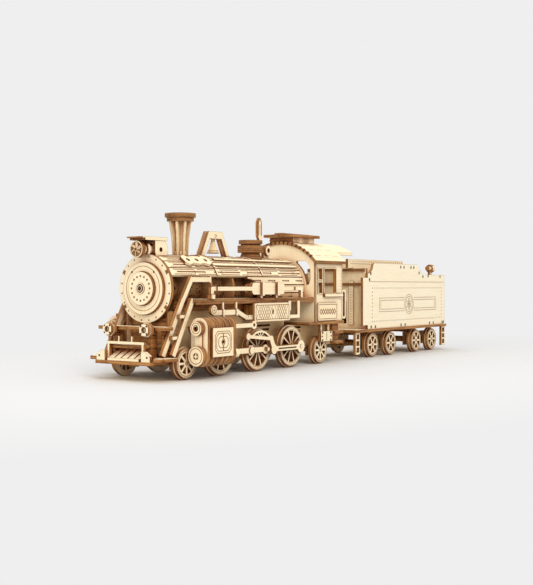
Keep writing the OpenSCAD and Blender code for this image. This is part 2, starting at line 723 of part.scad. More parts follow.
module cab_sides() {
    color("wheat") both() {
        sheet_y(-cab_y, ply) difference() {
            rect(cab_x0 + ply, cab_z0, cab_x1, side_top);
            rrect(cab_x0 + 4.6, eave_z - 22.6, cab_x0 + 9.6, eave_z - 14.6, 1);
            rrect(cab_x0 + 4.6, eave_z - 13.2, cab_x0 + 9.6, eave_z - 5, 1);
            rrect(cab_x0 + 12.4, eave_z - 22.6, cab_x0 + 28, eave_z - 5, 2);
        }
        // Arm rest below the large window
        translate([cab_x0 + 11, -cab_y - ply, eave_z - 24.8]) cube([24, ply, ply]);
        // Corner posts
        translate([cab_x1 - ply, ply - cab_y, cab_z0]) cube([ply, 3, side_top - cab_z0]);
    }
}
module cab_panels() {
    color("wheat") both() sheet_y(-cab_y - 1, 1)
        rrect(cab_x0 + 3, cab_z0 + 0.6, cab_x0 + 29, cab_z0 + 12.8, 1.6);
}
module cab_roof() {
    color("wheat") {
        sheet_x(cab_x0 - 1.2, cab_l + 3.2) arch(cab_y + 2, roof_r - ply, roof_r, roof_cz);
        sheet_x(cab_x1 + 2, 22) arch(22, roof_r - ply, roof_r, roof_cz);
    }
}
module roof_hatch() {
    color("peru") {
        difference() {
            translate([-27, -9.6, eave_z + roof_rise - 1.8]) cube([27.5, 19.2, 4.6]);
            rod_x(-40, 40, 0, roof_cz, roof_r);
        }
        translate([-31, -12.2, eave_z + roof_rise + 2.8]) cube([35, 24.4, ply]);
        translate([-31, -3, eave_z + roof_rise + 4.8]) cube([35, 6, 1]);
    }
}
module cab_floor() {
    color("peru") {
        sheet_z(cab_z0 - ply) difference() {
            rrect(-48, -cab_y - 1.6, cab_x1 + 2, cab_y + 1.6, 3);
            both() rect(-60, 7, driver_x3 + driver_r + 3.6, 40);
        }
        // Step boards hanging under the cab
        both() translate([cab_x0 + 25, -cab_y + 1, cab_z0 - 16]) cube([8, 2, 14]);
        both() for (z = [cab_z0 - 16, cab_z0 - 9]) translate([cab_x0 + 23.6, -cab_y - 2.4, z])
            cube([11, 4, ply]);
    }
}
module cab_fittings() {
    color("wheat") both() {
        // Injector box and its two feed straps
        translate([-20.6, -cab_y - 0.9, 15.6]) cube([14.6, 2.8, 7]);
        for (x = [-19, -10]) translate([x, -cab_y + 0.6, 22]) cube([2, 2, cab_z0 - ply - 22]);
        // Rear handrail, a loop standing behind the cab side
        sheet_y(-cab_y + 0.2, ply - 0.4) difference() {
            rrect(cab_x1, cab_z0 + 1, cab_x1 + 5.4, cab_z0 + 22, 2);
            rrect(cab_x1 + 1.2, cab_z0 + 2.6, cab_x1 + 3.8, cab_z0 + 20.4, 1.2);
        }
    }
}

// ---------------------------------------------------------------- tender
module drawbar() {
    color("saddlebrown") {
        translate([19.4, -3.4, hitch_z - ply - 0.4]) cube([28, 6.8, ply]);
        translate([drawbar_x, 0, hitch_z - ply - 0.4]) cylinder(h = 3 * ply, r = pin_r);
        translate([44, -3.4, hitch_z - ply - 0.4]) cube([3.4, 6.8, tender_z - hitch_z + 0.4]);
    }
}
module tender_floor() {
    color("peru") sheet_z(tender_z - ply) difference() {
        union() {
            rrect(porch_x, -tender_y - 1.4, tend_x1 + 4, tender_y + 1.4, 2);
            // Rear coupling plate
            rrect(tend_x1, -4, 185, 4, 1.4);
        }
        for (x = [bogie_x1, bogie_x2]) translate([x, 0]) circle(axle_r + run_gap);
        translate([182.4, 0]) circle(hitch_r);
    }
}
side_z1 = tender_z + 39.4;
module tender_sides() {
    color("wheat") both() sheet_y(-tender_y, ply) union() {
        difference() {
            polygon([[tend_x0, tender_z], [tend_x1 - 1, tender_z], [tend_x1 + 2, tender_z + 2],
                [tend_x1 + 2, side_z1 + 2], [tend_x1 - 39.6, side_z1 + 2], [tend_x1 - 50, side_z1 + 10],
                [tend_x0 + 10, side_z1 + 10], [tend_x0, side_z1 + 2]]);
            translate([tend_x0 + 1, side_z1 + 9.6]) circle(7.4);
            translate([tend_x1 - 41.6, side_z1 + 9.4]) circle(5.2);
        }
        rect(tend_x0 - 7, tender_z + 3, tend_x0 + 1, side_z1 - 1);
    }
}
module tender_ends() {
    color("wheat") {
        sheet_x(tend_x0 + 1) difference() {
            rect(ply - tender_y, tender_z, tender_y - ply, side_z1 + 6);
            rect(-9, tender_z + 4, 9, tender_z + 20);
        }
        sheet_x(tend_x1 - 2) rect(ply - tender_y, tender_z, tender_y - ply, side_z1 + 1);
        // Curved flanges on the front plate and strips behind the rear one
        both() sheet_y(5, ply) rect(tend_x1, tender_z + 5, tend_x1 + 2.4, side_z1 - 4);
        sheet_x(tend_x1 + 2, 1.6) rect(-tender_y + 1, tender_z + 4, tender_y - 1, tender_z + 8);
        sheet_x(tend_x1 + 2, 1.6) rect(-tender_y + 1, side_z1 - 8, tender_y - 1, side_z1 - 4);
    }
}
module coal_bunker() {
    color("wheat") {
        both() sheet_y(-14, ply) {
            rect(tend_x0 + 1 + ply, side_z1 - 2, tend_x1 - 48, side_z1 + 13);
            rect(tend_x0 - 5, side_z1 + 6.1, tend_x0 + 4, side_z1 + 13);
        }
        sheet_x(tend_x1 - 50) rect(-12, side_z1 - 2, 12, side_z1 + 10);
        sheet_z(side_z1 + 5 - ply) rect(tend_x0 + 1 + ply, -12, tend_x1 - 50, 12);
        // Deck between the sides
        sheet_z(side_z1 - 2 - ply) rect(tend_x0 + 1 + ply, ply - tender_y, tend_x1 - 2, tender_y - ply);
    }
}
module tender_fittings() {
    color("wheat") {
        // Ladders at both ends of the floor
        both() for (x = [porch_x + 1, tend_x1 - 4]) sheet_y(-tender_y, ply) difference() {
            rect(x, tender_z - ply - 16, x + 6.4, tender_z - ply);
            for (i = [0:2]) translate([x + 1.2, tender_z - ply - 14.4 + i * 4.8]) square([4, 3.4]);
        }
        // Rear lamp on its post
        translate([tend_x1 - 10, -20, side_z1 - 2]) cube([4, ply, 8]);
        rod_x(tend_x1 - 13, tend_x1 - 3, -19, side_z1 + 7.6, 2);
        rod_x(tend_x1 - 9, tend_x1 - 5, -19, side_z1 + 7.6, 3.4);
    }
}
// One bogie about its pivot, with a slot for two axles
module bogie(x) {
    color("saddlebrown") {
        difference() {
            both() sheet_y(-frame_y, ply) translate([x, 0]) union() {
                rect(-bogie_base / 2 - 4, small_z - 4, bogie_base / 2 + 4, tender_z - 2 * ply - 1.4);
            }
            for (s = [-1, 1]) rod_y(x + s * bogie_base / 2, -40, 40, small_z, axle_r + run_gap);
        }
        translate([x - 4, ply - frame_y, tender_z - 2 * ply - 2]) cube([8, 2 * (frame_y - ply), ply]);
        translate([x, 0, tender_z - 2 * ply]) cylinder(h = 0.6 + 2 * ply, r = axle_r);
        translate([x, 0, tender_z - 2 * ply]) cylinder(h = ply - 0.3, r = 5);
    }
}
module bogie_front() {
    bogie(bogie_x1);
}
module bogie_rear() {
    bogie(bogie_x2);
}
module tender_wheelset_1() {
    wheelset(bogie_x1 - bogie_base / 2, small_r, 6, wheel_y - 0.6);
}
module tender_wheelset_2() {
    wheelset(bogie_x1 + bogie_base / 2, small_r, 6, wheel_y - 0.6);
}
module tender_wheelset_3() {
    wheelset(bogie_x2 - bogie_base / 2, small_r, 6, wheel_y - 0.6);
}
module tender_wheelset_4() {
    wheelset(bogie_x2 + bogie_base / 2, small_r, 6, wheel_y - 0.6);
}

pilot_deck();
cowcatcher();
front_handrail();
footplate_wings();
buffer_beams();
marker_lamps();
front_braces();
smokebox_ring();
smokebox_door();
headlight_body();
headlight_lens();
chimney_column();
chimney_cap();
bell_frame();
bell();
steam_dome();
whistle();
boiler_formers();
boiler_core();
boiler_planks();
boiler_trim();
running_boards();
frame_sides();
frame_spacers();
upper_pipes();
lower_pipes();
lattice_boxes();
cylinder_blocks();
cylinder_covers();
cylinder_panels();
valve_rods();
piston_rod_left();
piston_rod_right();
cab_front_wall();
cab_sides();
cab_panels();
cab_roof();
roof_hatch();
cab_floor();
cab_fittings();
pilot_wheelset();
driver_wheelset_1();
driver_wheelset_2();
driver_wheelset_3();
trailing_wheelset();
side_rod_left();
side_rod_right();
drawbar();
tender_floor();
tender_sides();
tender_ends();
coal_bunker();
tender_fittings();
bogie_front();
bogie_rear();
tender_wheelset_1();
tender_wheelset_2();
tender_wheelset_3();
tender_wheelset_4();
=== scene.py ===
"""Finishes and fine detail of a laser-cut plywood steam locomotive with its tender."""

import logging
import math
from dataclasses import dataclass
from enum import Enum
from typing import Callable, ClassVar, Iterable, Sequence

import bmesh
import bpy
from mathutils import Matrix, Vector


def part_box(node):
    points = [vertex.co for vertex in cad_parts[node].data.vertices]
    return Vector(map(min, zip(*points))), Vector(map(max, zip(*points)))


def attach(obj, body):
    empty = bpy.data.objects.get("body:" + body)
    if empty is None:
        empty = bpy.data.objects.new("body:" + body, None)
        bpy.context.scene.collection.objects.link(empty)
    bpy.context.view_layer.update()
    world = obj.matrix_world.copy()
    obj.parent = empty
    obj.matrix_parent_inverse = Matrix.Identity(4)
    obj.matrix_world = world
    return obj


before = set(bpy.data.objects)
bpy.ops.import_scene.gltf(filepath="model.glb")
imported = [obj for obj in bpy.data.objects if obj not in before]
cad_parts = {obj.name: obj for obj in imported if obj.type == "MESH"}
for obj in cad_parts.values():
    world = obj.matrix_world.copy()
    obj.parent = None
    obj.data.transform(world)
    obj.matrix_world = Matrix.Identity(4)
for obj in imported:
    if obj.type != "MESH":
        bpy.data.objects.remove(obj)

LOG = logging.getLogger("plywood_locomotive")
MM = 0.001
SHEET_MM = 2.0
FRONT = (-1, 0, 0)
REAR = (1, 0, 0)
UP = (0, 0, 1)
SIDES = (-1, 1)
DAYLIGHT = (0.862, 0.862, 0.862, 1)
Colour = tuple[float, float, float, float]
Point = Sequence[float]
Thing = bpy.types.Object


class Way(Enum):
    """Which wood slot a finish belongs to."""

    X = 0
    Y = 1
    Z = 2


class Wood(Enum):
    """Which of the record's wood slots a finish belongs to."""

    FACE = "ply_face"
    EDGE = "ply_edge"
    DARK = "ply_dark"


# ---------------------------------------------------------------- finishes
class Graph:
    """A material's node tree, with short calls to add and join nodes."""

    def __init__(self, name: str) -> None:
        """Starts an empty material called name."""
        self.material = bpy.data.materials.new(name)
        self.material.use_nodes = True
        self.tree = self.material.node_tree
        self.tree.nodes.clear()
        self.out = self.add("ShaderNodeOutputMaterial")

    def add(self, kind: str, inputs: dict | None = None, **settings: object) -> bpy.types.Node:
        """Adds one node.

        Args:
            kind: The node's type name.
            inputs: Socket name or number to a value, or to another node's output socket.
            settings: Properties of the node itself.

        Returns:
            The new node.
        """
        node = self.tree.nodes.new(kind)
        for key, value in settings.items():
            setattr(node, key, value)
        for key, value in (inputs or {}).items():
            if isinstance(value, bpy.types.NodeSocket):
                self.tree.links.new(value, node.inputs[key])
            else:
                node.inputs[key].default_value = value
        return node

    def remap(self, value: bpy.types.NodeSocket, low: float, high: float) -> bpy.types.NodeSocket:
        """Returns value stretched so that low becomes 0 and high becomes 1, held between them."""
        limits = {0: value, 1: low, 2: high, 3: 0.0, 4: 1.0}
        return self.add("ShaderNodeMapRange", limits, clamp=True).outputs[0]

    def mix(self, factor: object, first: object, second: object, how: str = "MIX") -> bpy.types.NodeSocket:
        """Returns the mixture of two colours."""
        node = self.add("ShaderNodeMix", data_type="RGBA", blend_type=how, clamp_factor=True)
        for number, value in ((0, factor), (6, first), (7, second)):
            if isinstance(value, bpy.types.NodeSocket):
                self.tree.links.new(value, node.inputs[number])
            else:
                node.inputs[number].default_value = value
        return node.outputs[2]

    def sum(self, operation: str, first: object, second: object = 0.0) -> bpy.types.NodeSocket:
        """Returns the result of one arithmetic step."""
        return self.add("ShaderNodeMath", {0: first, 1: second}, operation=operation).outputs[0]


@dataclass(frozen=True)
class Plywood:
    """Sanded ply: pale grain on the faces, brown plies where the laser went through.

    Attributes:
        name: The material's name.
        faces: The way the sheets face, or None for a turned or bent piece, pale all round.
        grain: The way the grain runs.
        pale: The lightest tone of a face.
        warm: The darker tone between the lines of the grain.
        cut: The tone of a cut edge.
        burnt: The tone of the outer plies of a cut edge and of the burn beside it.
        burn_mm: How far the burn reaches over an edge.
        ends: The way that the cut ends of a bent or turned piece face.
        pierced_mm: The spacing of small black holes all over, painted shade seen through them, or 0 for none.
        face_turn: How much of a normal lies along faces where an edge begins and a face is full.
        end_turn: The same along ends, where a side stops and a cut end is full.
        corner: What the colour of a deep corner is multiplied by, as painted shade.
        corner_shade_mm: How far the painted shade of a deep corner reaches.
    """

    name: str
    faces: Way | None
    grain: Way = Way.X
    pale: Colour = (0.9, 0.765, 0.53, 1)
    warm: Colour = (0.81, 0.6, 0.34, 1)
    cut: Colour = (0.47, 0.215, 0.058, 1)
    burnt: Colour = (0.1, 0.026, 0.007, 1)
    burn_mm: float = 0.5
    ends: Way | None = None
    pierced_mm: float = 0.0
    face_turn: tuple[float, float] = (0.72, 0.9)
    end_turn: tuple[float, float] = (0.8, 0.95)
    corner: Colour = (0.45, 0.185, 0.065, 1)
    corner_shade_mm: float = 7.0

    def material(self) -> bpy.types.Material:
        """Builds the finish and returns it."""
        g = Graph(self.name)
        place = g.add("ShaderNodeTexCoord")
        spot = place.outputs["Object"]
        face, edge = self._face(g, spot), self._edge(g, spot)
        parts = g.add("ShaderNodeSeparateXYZ", {0: place.outputs["Normal"]})
        facing = g.sum("ABSOLUTE", parts.outputs[self._layered().value])
        if self.faces:
            colour = g.mix(g.remap(facing, *self.face_turn), edge, face)
        else:
            colour = g.mix(g.remap(facing, *self.end_turn), face, edge)
        colour = g.mix(g.sum("MULTIPLY", self._rim(g), 0.85), colour, self.burnt)
        if self.pierced_mm:
            colour = self._pierced(g, spot, colour)
        # Painted shade: ambient occlusion darkens deep corners and creases towards the corner colour.
        shade = g.add("ShaderNodeAmbientOcclusion", {"Distance": self.corner_shade_mm * MM}, samples=6)
        deep = g.mix(1.0, colour, self.corner, "MULTIPLY")
        colour = g.mix(g.remap(shade.outputs["AO"], 0.15, 0.82), deep, colour)
        fibres = self._stretched_noise(g, spot, across_mm=0.09, along_mm=6.0, detail=3.0)
        bump = g.add("ShaderNodeBump", {"Height": fibres, "Strength": 0.22, "Distance": 0.06 * MM})
        skin = g.add("ShaderNodeBsdfPrincipled", {"Base Color": colour, "Roughness": 0.62})
        skin.inputs["Specular IOR Level"].default_value = 0.25
        g.tree.links.new(bump.outputs[0], skin.inputs["Normal"])
        g.tree.links.new(skin.outputs[0], g.out.inputs["Surface"])
        return g.material

    def _layered(self) -> Way:
        """Returns the way that the plies are stacked."""
        return self.faces or self.ends or Way.Z

    def _stretched_noise(
        self, g: Graph, spot: bpy.types.NodeSocket, across_mm: float, along_mm: float, detail: float
    ) -> bpy.types.NodeSocket:
        """Returns noise drawn out along the grain, from its width and length in mm."""
        scale = [1 / (across_mm * MM)] * 3
        scale[self.grain.value] = 1 / (along_mm * MM)
        mapped = g.add("ShaderNodeMapping", {"Vector": spot, "Scale": scale}, vector_type="POINT")
        settings = {"Vector": mapped.outputs[0], "Scale": 1.0, "Detail": detail, "Roughness": 0.6}
        return g.add("ShaderNodeTexNoise", settings).outputs[0]

    def _face(self, g: Graph, spot: bpy.types.NodeSocket) -> bpy.types.NodeSocket:
        """Returns the colour of a sanded face."""
        streaks = self._stretched_noise(g, spot, across_mm=0.55, along_mm=22.0, detail=5.0)
        clouds = g.add("ShaderNodeTexNoise", {"Vector": spot, "Scale": 55.0, "Detail": 2.0}).outputs[0]
        pores = self._stretched_noise(g, spot, across_mm=0.16, along_mm=3.2, detail=2.0)
        colour = g.mix(g.remap(streaks, 0.42, 0.78), self.pale, self.warm)
        colour = g.mix(g.sum("MULTIPLY", g.remap(clouds, 0.45, 0.75), 0.22), colour, self.warm)
        return g.mix(g.sum("MULTIPLY", g.remap(pores, 0.64, 0.8), 0.45), colour, self.cut)

    def _edge(self, g: Graph, spot: bpy.types.NodeSocket) -> bpy.types.NodeSocket:
        """Returns the colour of a cut edge, with its plies as bands along the sheet."""
        scale = [45.0] * 3
        scale[self._layered().value] = 1500.0
        mapped = g.add("ShaderNodeMapping", {"Vector": spot, "Scale": scale}, vector_type="POINT")
        plies = g.add("ShaderNodeTexNoise", {"Vector": mapped.outputs[0], "Scale": 1.0, "Detail": 3.0})
        soot = g.add("ShaderNodeTexNoise", {"Vector": spot, "Scale": 260.0, "Detail": 3.0}).outputs[0]
        colour = g.mix(g.remap(plies.outputs[0], 0.34, 0.66), self.burnt, self.cut)
        return g.mix(g.sum("MULTIPLY", g.remap(soot, 0.4, 0.7), 0.5), colour, self.cut)

    def _pierced(
        self, g: Graph, spot: bpy.types.NodeSocket, colour: bpy.types.NodeSocket
    ) -> bpy.types.NodeSocket:
        """Returns the colour with small black holes of painted shade, large and small ones mixed."""
        cells = g.add("ShaderNodeTexVoronoi", {"Vector": spot, "Scale": 1 / (self.pierced_mm * MM)})
        sizes = g.add("ShaderNodeTexNoise", {"Vector": spot, "Scale": 240.0}).outputs[0]
        reach = g.sum("MULTIPLY", sizes, 0.62)
        hole = g.remap(g.sum("SUBTRACT", cells.outputs["Distance"], reach), 0.02, -0.06)
        return g.mix(hole, colour, (0.012, 0.006, 0.003, 1))

    def _rim(self, g: Graph) -> bpy.types.NodeSocket:
        """Returns 1 on a sharp edge and 0 on the open face beside it."""
        round_over = g.add("ShaderNodeBevel", {"Radius": self.burn_mm * MM}, samples=6)
        true = g.add("ShaderNodeNewGeometry").outputs["True Normal"]
        sockets = {0: round_over.outputs[0], 1: true}
        turn = g.add("ShaderNodeVectorMath", sockets, operation="DOT_PRODUCT").outputs["Value"]
        return g.remap(turn, 0.985, 0.88)


@dataclass(frozen=True)
class Scorch:
    """Lines and dots that the laser marked or pierced: brown, uneven and matt.

    Attributes:
        name: The material's name.
        line: The lighter tone.
        soot: The darker tone.
    """

    name: str = "laser_mark"
    line: Colour = (0.33, 0.15, 0.045, 1)
    soot: Colour = (0.12, 0.045, 0.014, 1)

    def material(self) -> bpy.types.Material:
        """Builds the finish and returns it."""
        g = Graph(self.name)
        spot = g.add("ShaderNodeTexCoord").outputs["Object"]
        specks = g.add("ShaderNodeTexNoise", {"Vector": spot, "Scale": 900.0, "Detail": 3.0}).outputs[0]
        colour = g.mix(g.remap(specks, 0.35, 0.65), self.line, self.soot)
        bump = g.add("ShaderNodeBump", {"Height": specks, "Strength": 0.3, "Distance": 0.05 * MM})
        skin = g.add("ShaderNodeBsdfPrincipled", {"Base Color": colour, "Roughness": 0.85})
        g.tree.links.new(bump.outputs[0], skin.inputs["Normal"])
        g.tree.links.new(skin.outputs[0], g.out.inputs["Surface"])
        return g.material


@dataclass(frozen=True)
class StudioPaper:
    """Pale paper under the model, with a painted warm shadow close to it, which fades into the even light
    around it.

    Attributes:
        name: The material's name.
        paper: The paper's tone in the open.
        warm: Its tone close to the model: a painted shadow, warmed as by light off the wood.
        glow: The even tone that it fades into.
        near: How far from the middle the fade starts, in stretched metres.
        far: How far out it ends.
        stretch: What a distance along each axis is multiplied by.
    """

    name: str = "studio_paper"
    paper: Colour = (0.635, 0.637, 0.64, 1)
    warm: Colour = (0.66, 0.61, 0.54, 1)
    glow: Colour = DAYLIGHT
    near: float = 0.21
    far: float = 0.38
    stretch: tuple[float, float, float] = (0.85, 1.35, 1.0)

    def material(self) -> bpy.types.Material:
        """Builds the finish and returns it."""
        g = Graph(self.name)
        spot = g.add("ShaderNodeTexCoord").outputs["Object"]
        oval = g.add("ShaderNodeVectorMath", {0: spot, 1: self.stretch}, operation="MULTIPLY")
        reach = g.add("ShaderNodeVectorMath", {0: oval.outputs[0]}, operation="LENGTH").outputs["Value"]
        tooth = g.add("ShaderNodeTexNoise", {"Vector": spot, "Scale": 1400.0}).outputs[0]
        bump = g.add("ShaderNodeBump", {"Height": tooth, "Strength": 0.05, "Distance": 0.05 * MM})
        # Painted shadow: ambient occlusion makes the paper warmer and darker close to the model.
        under = g.add("ShaderNodeAmbientOcclusion", {"Distance": 30 * MM}, samples=6)
        tone = g.mix(g.remap(under.outputs["AO"], 0.25, 0.95), self.warm, self.paper)
        matt = g.add("ShaderNodeBsdfDiffuse", {"Color": tone, "Normal": bump.outputs[0]})
        even = g.add("ShaderNodeEmission", {"Color": self.glow, "Strength": 1.0})
        fade = g.remap(reach, self.near, self.far)
        both = g.add("ShaderNodeMixShader", {0: fade, 1: matt.outputs[0], 2: even.outputs[0]})
        g.tree.links.new(both.outputs[0], g.out.inputs["Surface"])
        return g.material


class Palette:
    """Every finish of the model, each built once."""

    def __init__(self) -> None:
        """Builds the finishes."""
        # Painted shade: dark tones for the pieces inside the boiler, standing for the shade there.
        dark = {"pale": (0.33, 0.175, 0.07, 1), "warm": (0.19, 0.085, 0.03, 1)}
        # Painted shade: darker, browner tones for the frames and bogies, standing for the shade between the
        # wheels.
        frame_shade_tones = {"pale": (0.66, 0.46, 0.24, 1), "warm": (0.5, 0.3, 0.13, 1)}
        # Paler tones for the tender sides.
        paler_tones = {"pale": (0.885, 0.79, 0.6, 1), "warm": (0.83, 0.68, 0.44, 1)}
        flutes = {"pale": (0.82, 0.64, 0.39, 1), "warm": (0.62, 0.41, 0.19, 1)}
        finishes = [
            Plywood("ply_facing_x", Way.X, Way.Z),
            Plywood("ply_facing_y", Way.Y, Way.X),
            Plywood("ply_facing_z", Way.Z, Way.X),
            Plywood("ply_along_x", None, Way.X, ends=Way.X),
            Plywood("ply_upright", None, Way.Z, ends=Way.Z, **flutes),
            Plywood("ply_slats", None, Way.X, ends=Way.Y),
            Plywood("ply_frame_painted_shade", Way.Y, Way.X, **frame_shade_tones),
            Plywood("ply_tender_sides", Way.Y, Way.X, **paler_tones),
            Plywood("ply_brown_discs", Way.Z, Way.X, cut=(0.36, 0.17, 0.05, 1)),
            Plywood("ply_inner_x_painted_shade", Way.X, Way.Y, **dark),
            Plywood("ply_inner_round_painted_shade", None, Way.X, pierced_mm=1.9, **dark),
            Scorch(),
            # Nearly black: burnt end grain on the tab ends, and painted shade in the notches, bores and
            # holes.
            Scorch("notch_burn_and_shade", (0.045, 0.018, 0.007, 1), (0.02, 0.008, 0.003, 1)),
        ]
        self.made = {finish.name: finish.material() for finish in finishes}

    def __getitem__(self, name: str) -> bpy.types.Material:
        """Returns one finish by its name."""
        return self.made[name]


# ---------------------------------------------------------------- workbench
def let_go() -> None:
    """Leaves nothing selected."""
    bpy.ops.object.select_all(action="DESELECT")


def hold(things: Iterable[Thing]) -> None:
    """Selects these and nothing else, the first of them active."""
    let_go()
    chosen = list(things)
    for thing in chosen:
        thing.select_set(True)
    bpy.context.view_layer.objects.active = chosen[0]


def fix_place(thing: Thing) -> Thing:
    """Puts an object's place into its mesh."""
    hold([thing])
    bpy.ops.object.transform_apply(location=True, rotation=True, scale=True)
    return thing


def pick_faces(thing: Thing, wanted: Callable[[bmesh.types.BMFace], bool]) -> None:
    """Selects the faces of the mesh in edit mode that pass a test."""
    bpy.ops.mesh.select_mode(type="FACE")
    mesh = bmesh.from_edit_mesh(thing.data)
    for face in mesh.faces:
        face.select = wanted(face)
    mesh.select_flush_mode()
    bmesh.update_edit_mesh(thing.data)


def across(normal: Vector) -> Vector:
    """Returns a level direction at right angles to a normal."""
    other = Vector((1, 0, 0)) if abs(normal.x) < 0.9 else Vector((0, 1, 0))
    return normal.cross(other).normalized()


def lay(at: Vector, along: Vector, normal: Vector, size: Point) -> Matrix:
    """Makes the matrix that lays a unit shape on a surface.

    Args:
        at: Where its underside's centre goes, in metres.
        along: Where its length points.
        normal: The way that the surface faces.
        size: Its length, width and height, in metres.

    Returns:
        The matrix.
    """
    z = normal.normalized()
    x = (along - z * along.dot(z)).normalized()
    y = z.cross(x)
    columns = [x * size[0], y * size[1], z * size[2]]
    matrix = Matrix((columns[0], columns[1], columns[2])).transposed().to_4x4()
    matrix.translation = at
    return matrix


class Stock:
    """Small shapes modelled once, at unit size and standing on z = 0, then copied."""

    def __init__(self) -> None:
        """Models the strip and the stud."""
        self.strip = self._strip()
        self.stud = self._stud()

    def _strip(self) -> Thing:
        """Models a strip with its upper edges eased."""
        let_go()
        bpy.ops.mesh.primitive_cube_add(size=1, location=(0, 0, 0.5))
        strip = fix_place(bpy.context.object)
        bpy.ops.object.mode_set(mode="EDIT")
        pick_faces(strip, lambda face: face.normal.z > 0.9)
        bpy.ops.mesh.inset(thickness=0.06, depth=0.0)
        bpy.ops.transform.translate(value=(0, 0, 0.25))
        bpy.ops.object.mode_set(mode="OBJECT")
        return strip

    def _stud(self) -> Thing:
        """Models a low stud with a stepped crown."""
        let_go()
        bpy.ops.mesh.primitive_cylinder_add(vertices=10, radius=0.5, depth=0.6, location=(0, 0, 0.3))
        stud = fix_place(bpy.context.object)
        bpy.ops.object.mode_set(mode="EDIT")
        pick_faces(stud, lambda face: face.normal.z > 0.9)
        bpy.ops.mesh.inset(thickness=0.14, depth=0.0)
        bpy.ops.transform.translate(value=(0, 0, 0.4))
        bpy.ops.object.mode_set(mode="OBJECT")
        return stud

    def put_away(self) -> None:
        """Deletes the shapes that the copies came from."""
        for shape in (self.strip, self.stud):
            bpy.data.objects.remove(shape)


def copy_of(shape: Thing, matrix: Matrix) -> Thing:
    """Returns a copy of a shape with its own mesh, moved by a matrix."""
    twin = bpy.data.objects.new(shape.name, shape.data.copy())
    twin.data.transform(matrix)
    bpy.context.scene.collection.objects.link(twin)
    return twin


class Piece:
    """One finished piece, gathered from small shapes on a body."""

    stock: Stock
    palette: Palette

    def __init__(self, name: str, body: str, wood: Wood, finish: str) -> None:
        """Starts an empty piece.

        Args:
            name: What the piece is called.
            body: The body that it moves with.
            wood: The wood slot of its finish, kept on the piece and not used further.
            finish: The finish's name.
        """
        self.name = name
        self.body = body
        self.wood = wood
        self.finish = finish
        self.shapes: list[Thing] = []

    def strip(self, start: Point, end: Point, normal: Point, width: float, proud: float) -> None:
        """Lays a straight strip from start to end on a surface, all in mm."""
        a, b = Vector(start) * MM, Vector(end) * MM
        size = ((b - a).length, width * MM, proud * MM)
        matrix = lay((a + b) / 2, b - a, Vector(normal), size)
        self.shapes.append(copy_of(Piece.stock.strip, matrix))

    def stud(self, at: Point, normal: Point, width: float, proud: float) -> None:
        """Sets one stud on a surface, all in mm."""
        face = Vector(normal)
        matrix = lay(Vector(at) * MM, across(face), face, (width * MM, width * MM, proud * MM))
        self.shapes.append(copy_of(Piece.stock.stud, matrix))

    def studs(self, start: Point, end: Point, count: int, normal: Point, width: float, proud: float) -> None:
        """Sets a row of studs from start to end."""
        a, b = Vector(start), Vector(end)
        for step in range(count):
            self.stud(a.lerp(b, step / max(1, count - 1)), normal, width, proud)

    def outline(self, corners: Sequence[Point], normal: Point, width: float, proud: float) -> None:
        """Lays strips round a closed outline."""
        for start, end in zip(corners, [*corners[1:], corners[0]]):
            self.strip(start, end, normal, width, proud)

    def hoop(
        self, centre: Point, normal: Point, radius: float, width: float, proud: float, sides: int = 64
    ) -> None:
        """Sets a flat ring on a surface: a disc whose two caps are inset and bridged.

        Args:
            centre: The ring's centre on the surface, in mm.
            normal: The way that the surface faces.
            radius: The outer radius, in mm.
            width: The width of the band, in mm.
            proud: The height of the band, in mm.
            sides: How many sides the round has.
        """
        let_go()
        half = proud * MM / 2
        bpy.ops.mesh.primitive_cylinder_add(
            vertices=sides, radius=radius * MM, depth=proud * MM, location=(0, 0, half)
        )
        ring = fix_place(bpy.context.object)
        bpy.ops.object.mode_set(mode="EDIT")
        pick_faces(ring, lambda face: abs(face.normal.z) > 0.9)
        bpy.ops.mesh.inset(thickness=width * MM, depth=0.0, use_individual=True)
        bpy.ops.mesh.bridge_edge_loops()
        bpy.ops.object.mode_set(mode="OBJECT")
        face = Vector(normal)
        ring.data.transform(lay(Vector(centre) * MM, across(face), face, (1, 1, 1)))
        self.shapes.append(ring)

    def boss(
        self, centre: Point, normal: Point, radius: float, proud: float, step: float, sides: int = 48
    ) -> None:
        """Sets a turned boss on a surface: a disc whose cap steps in and rises.

        Args:
            centre: The boss's centre on the surface, in mm.
            normal: The way that the surface faces.
            radius: The outer radius, in mm.
            proud: The height of the lower step, in mm.
            step: The rise of the inner step, in mm, or a dish where it is negative.
            sides: How many sides the round has.
        """
        let_go()
        bpy.ops.mesh.primitive_cylinder_add(
            vertices=sides, radius=radius * MM, depth=proud * MM, location=(0, 0, proud * MM / 2)
        )
        disc = fix_place(bpy.context.object)
        bpy.ops.object.mode_set(mode="EDIT")
        pick_faces(disc, lambda face: face.normal.z > 0.9)
        bpy.ops.mesh.inset(thickness=radius * 0.38 * MM, depth=0.0)
        bpy.ops.mesh.extrude_region_move(TRANSFORM_OT_translate={"value": (0, 0, step * MM)})
        bpy.ops.object.mode_set(mode="OBJECT")
        face = Vector(normal)
        disc.data.transform(lay(Vector(centre) * MM, across(face), face, (1, 1, 1)))
        self.shapes.append(disc)

    def done(self) -> Thing:
        """Joins the shapes, dresses the piece and sets it on its body."""
        hold(self.shapes)
        if len(self.shapes) > 1:
            bpy.ops.object.join()
        piece = bpy.context.object
        piece.name = self.name
        piece.data.name = self.name
        bpy.ops.object.mode_set(mode="EDIT")
        bpy.ops.mesh.select_all(action="SELECT")
        bpy.ops.mesh.normals_make_consistent(inside=False)
        bpy.ops.object.mode_set(mode="OBJECT")
        piece.data.materials.clear()
        piece.data.materials.append(Piece.palette[self.finish])
        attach(piece, self.body)
        LOG.info("%s: %d shapes, %d faces", self.name, len(self.shapes), len(piece.data.polygons))
        return piece


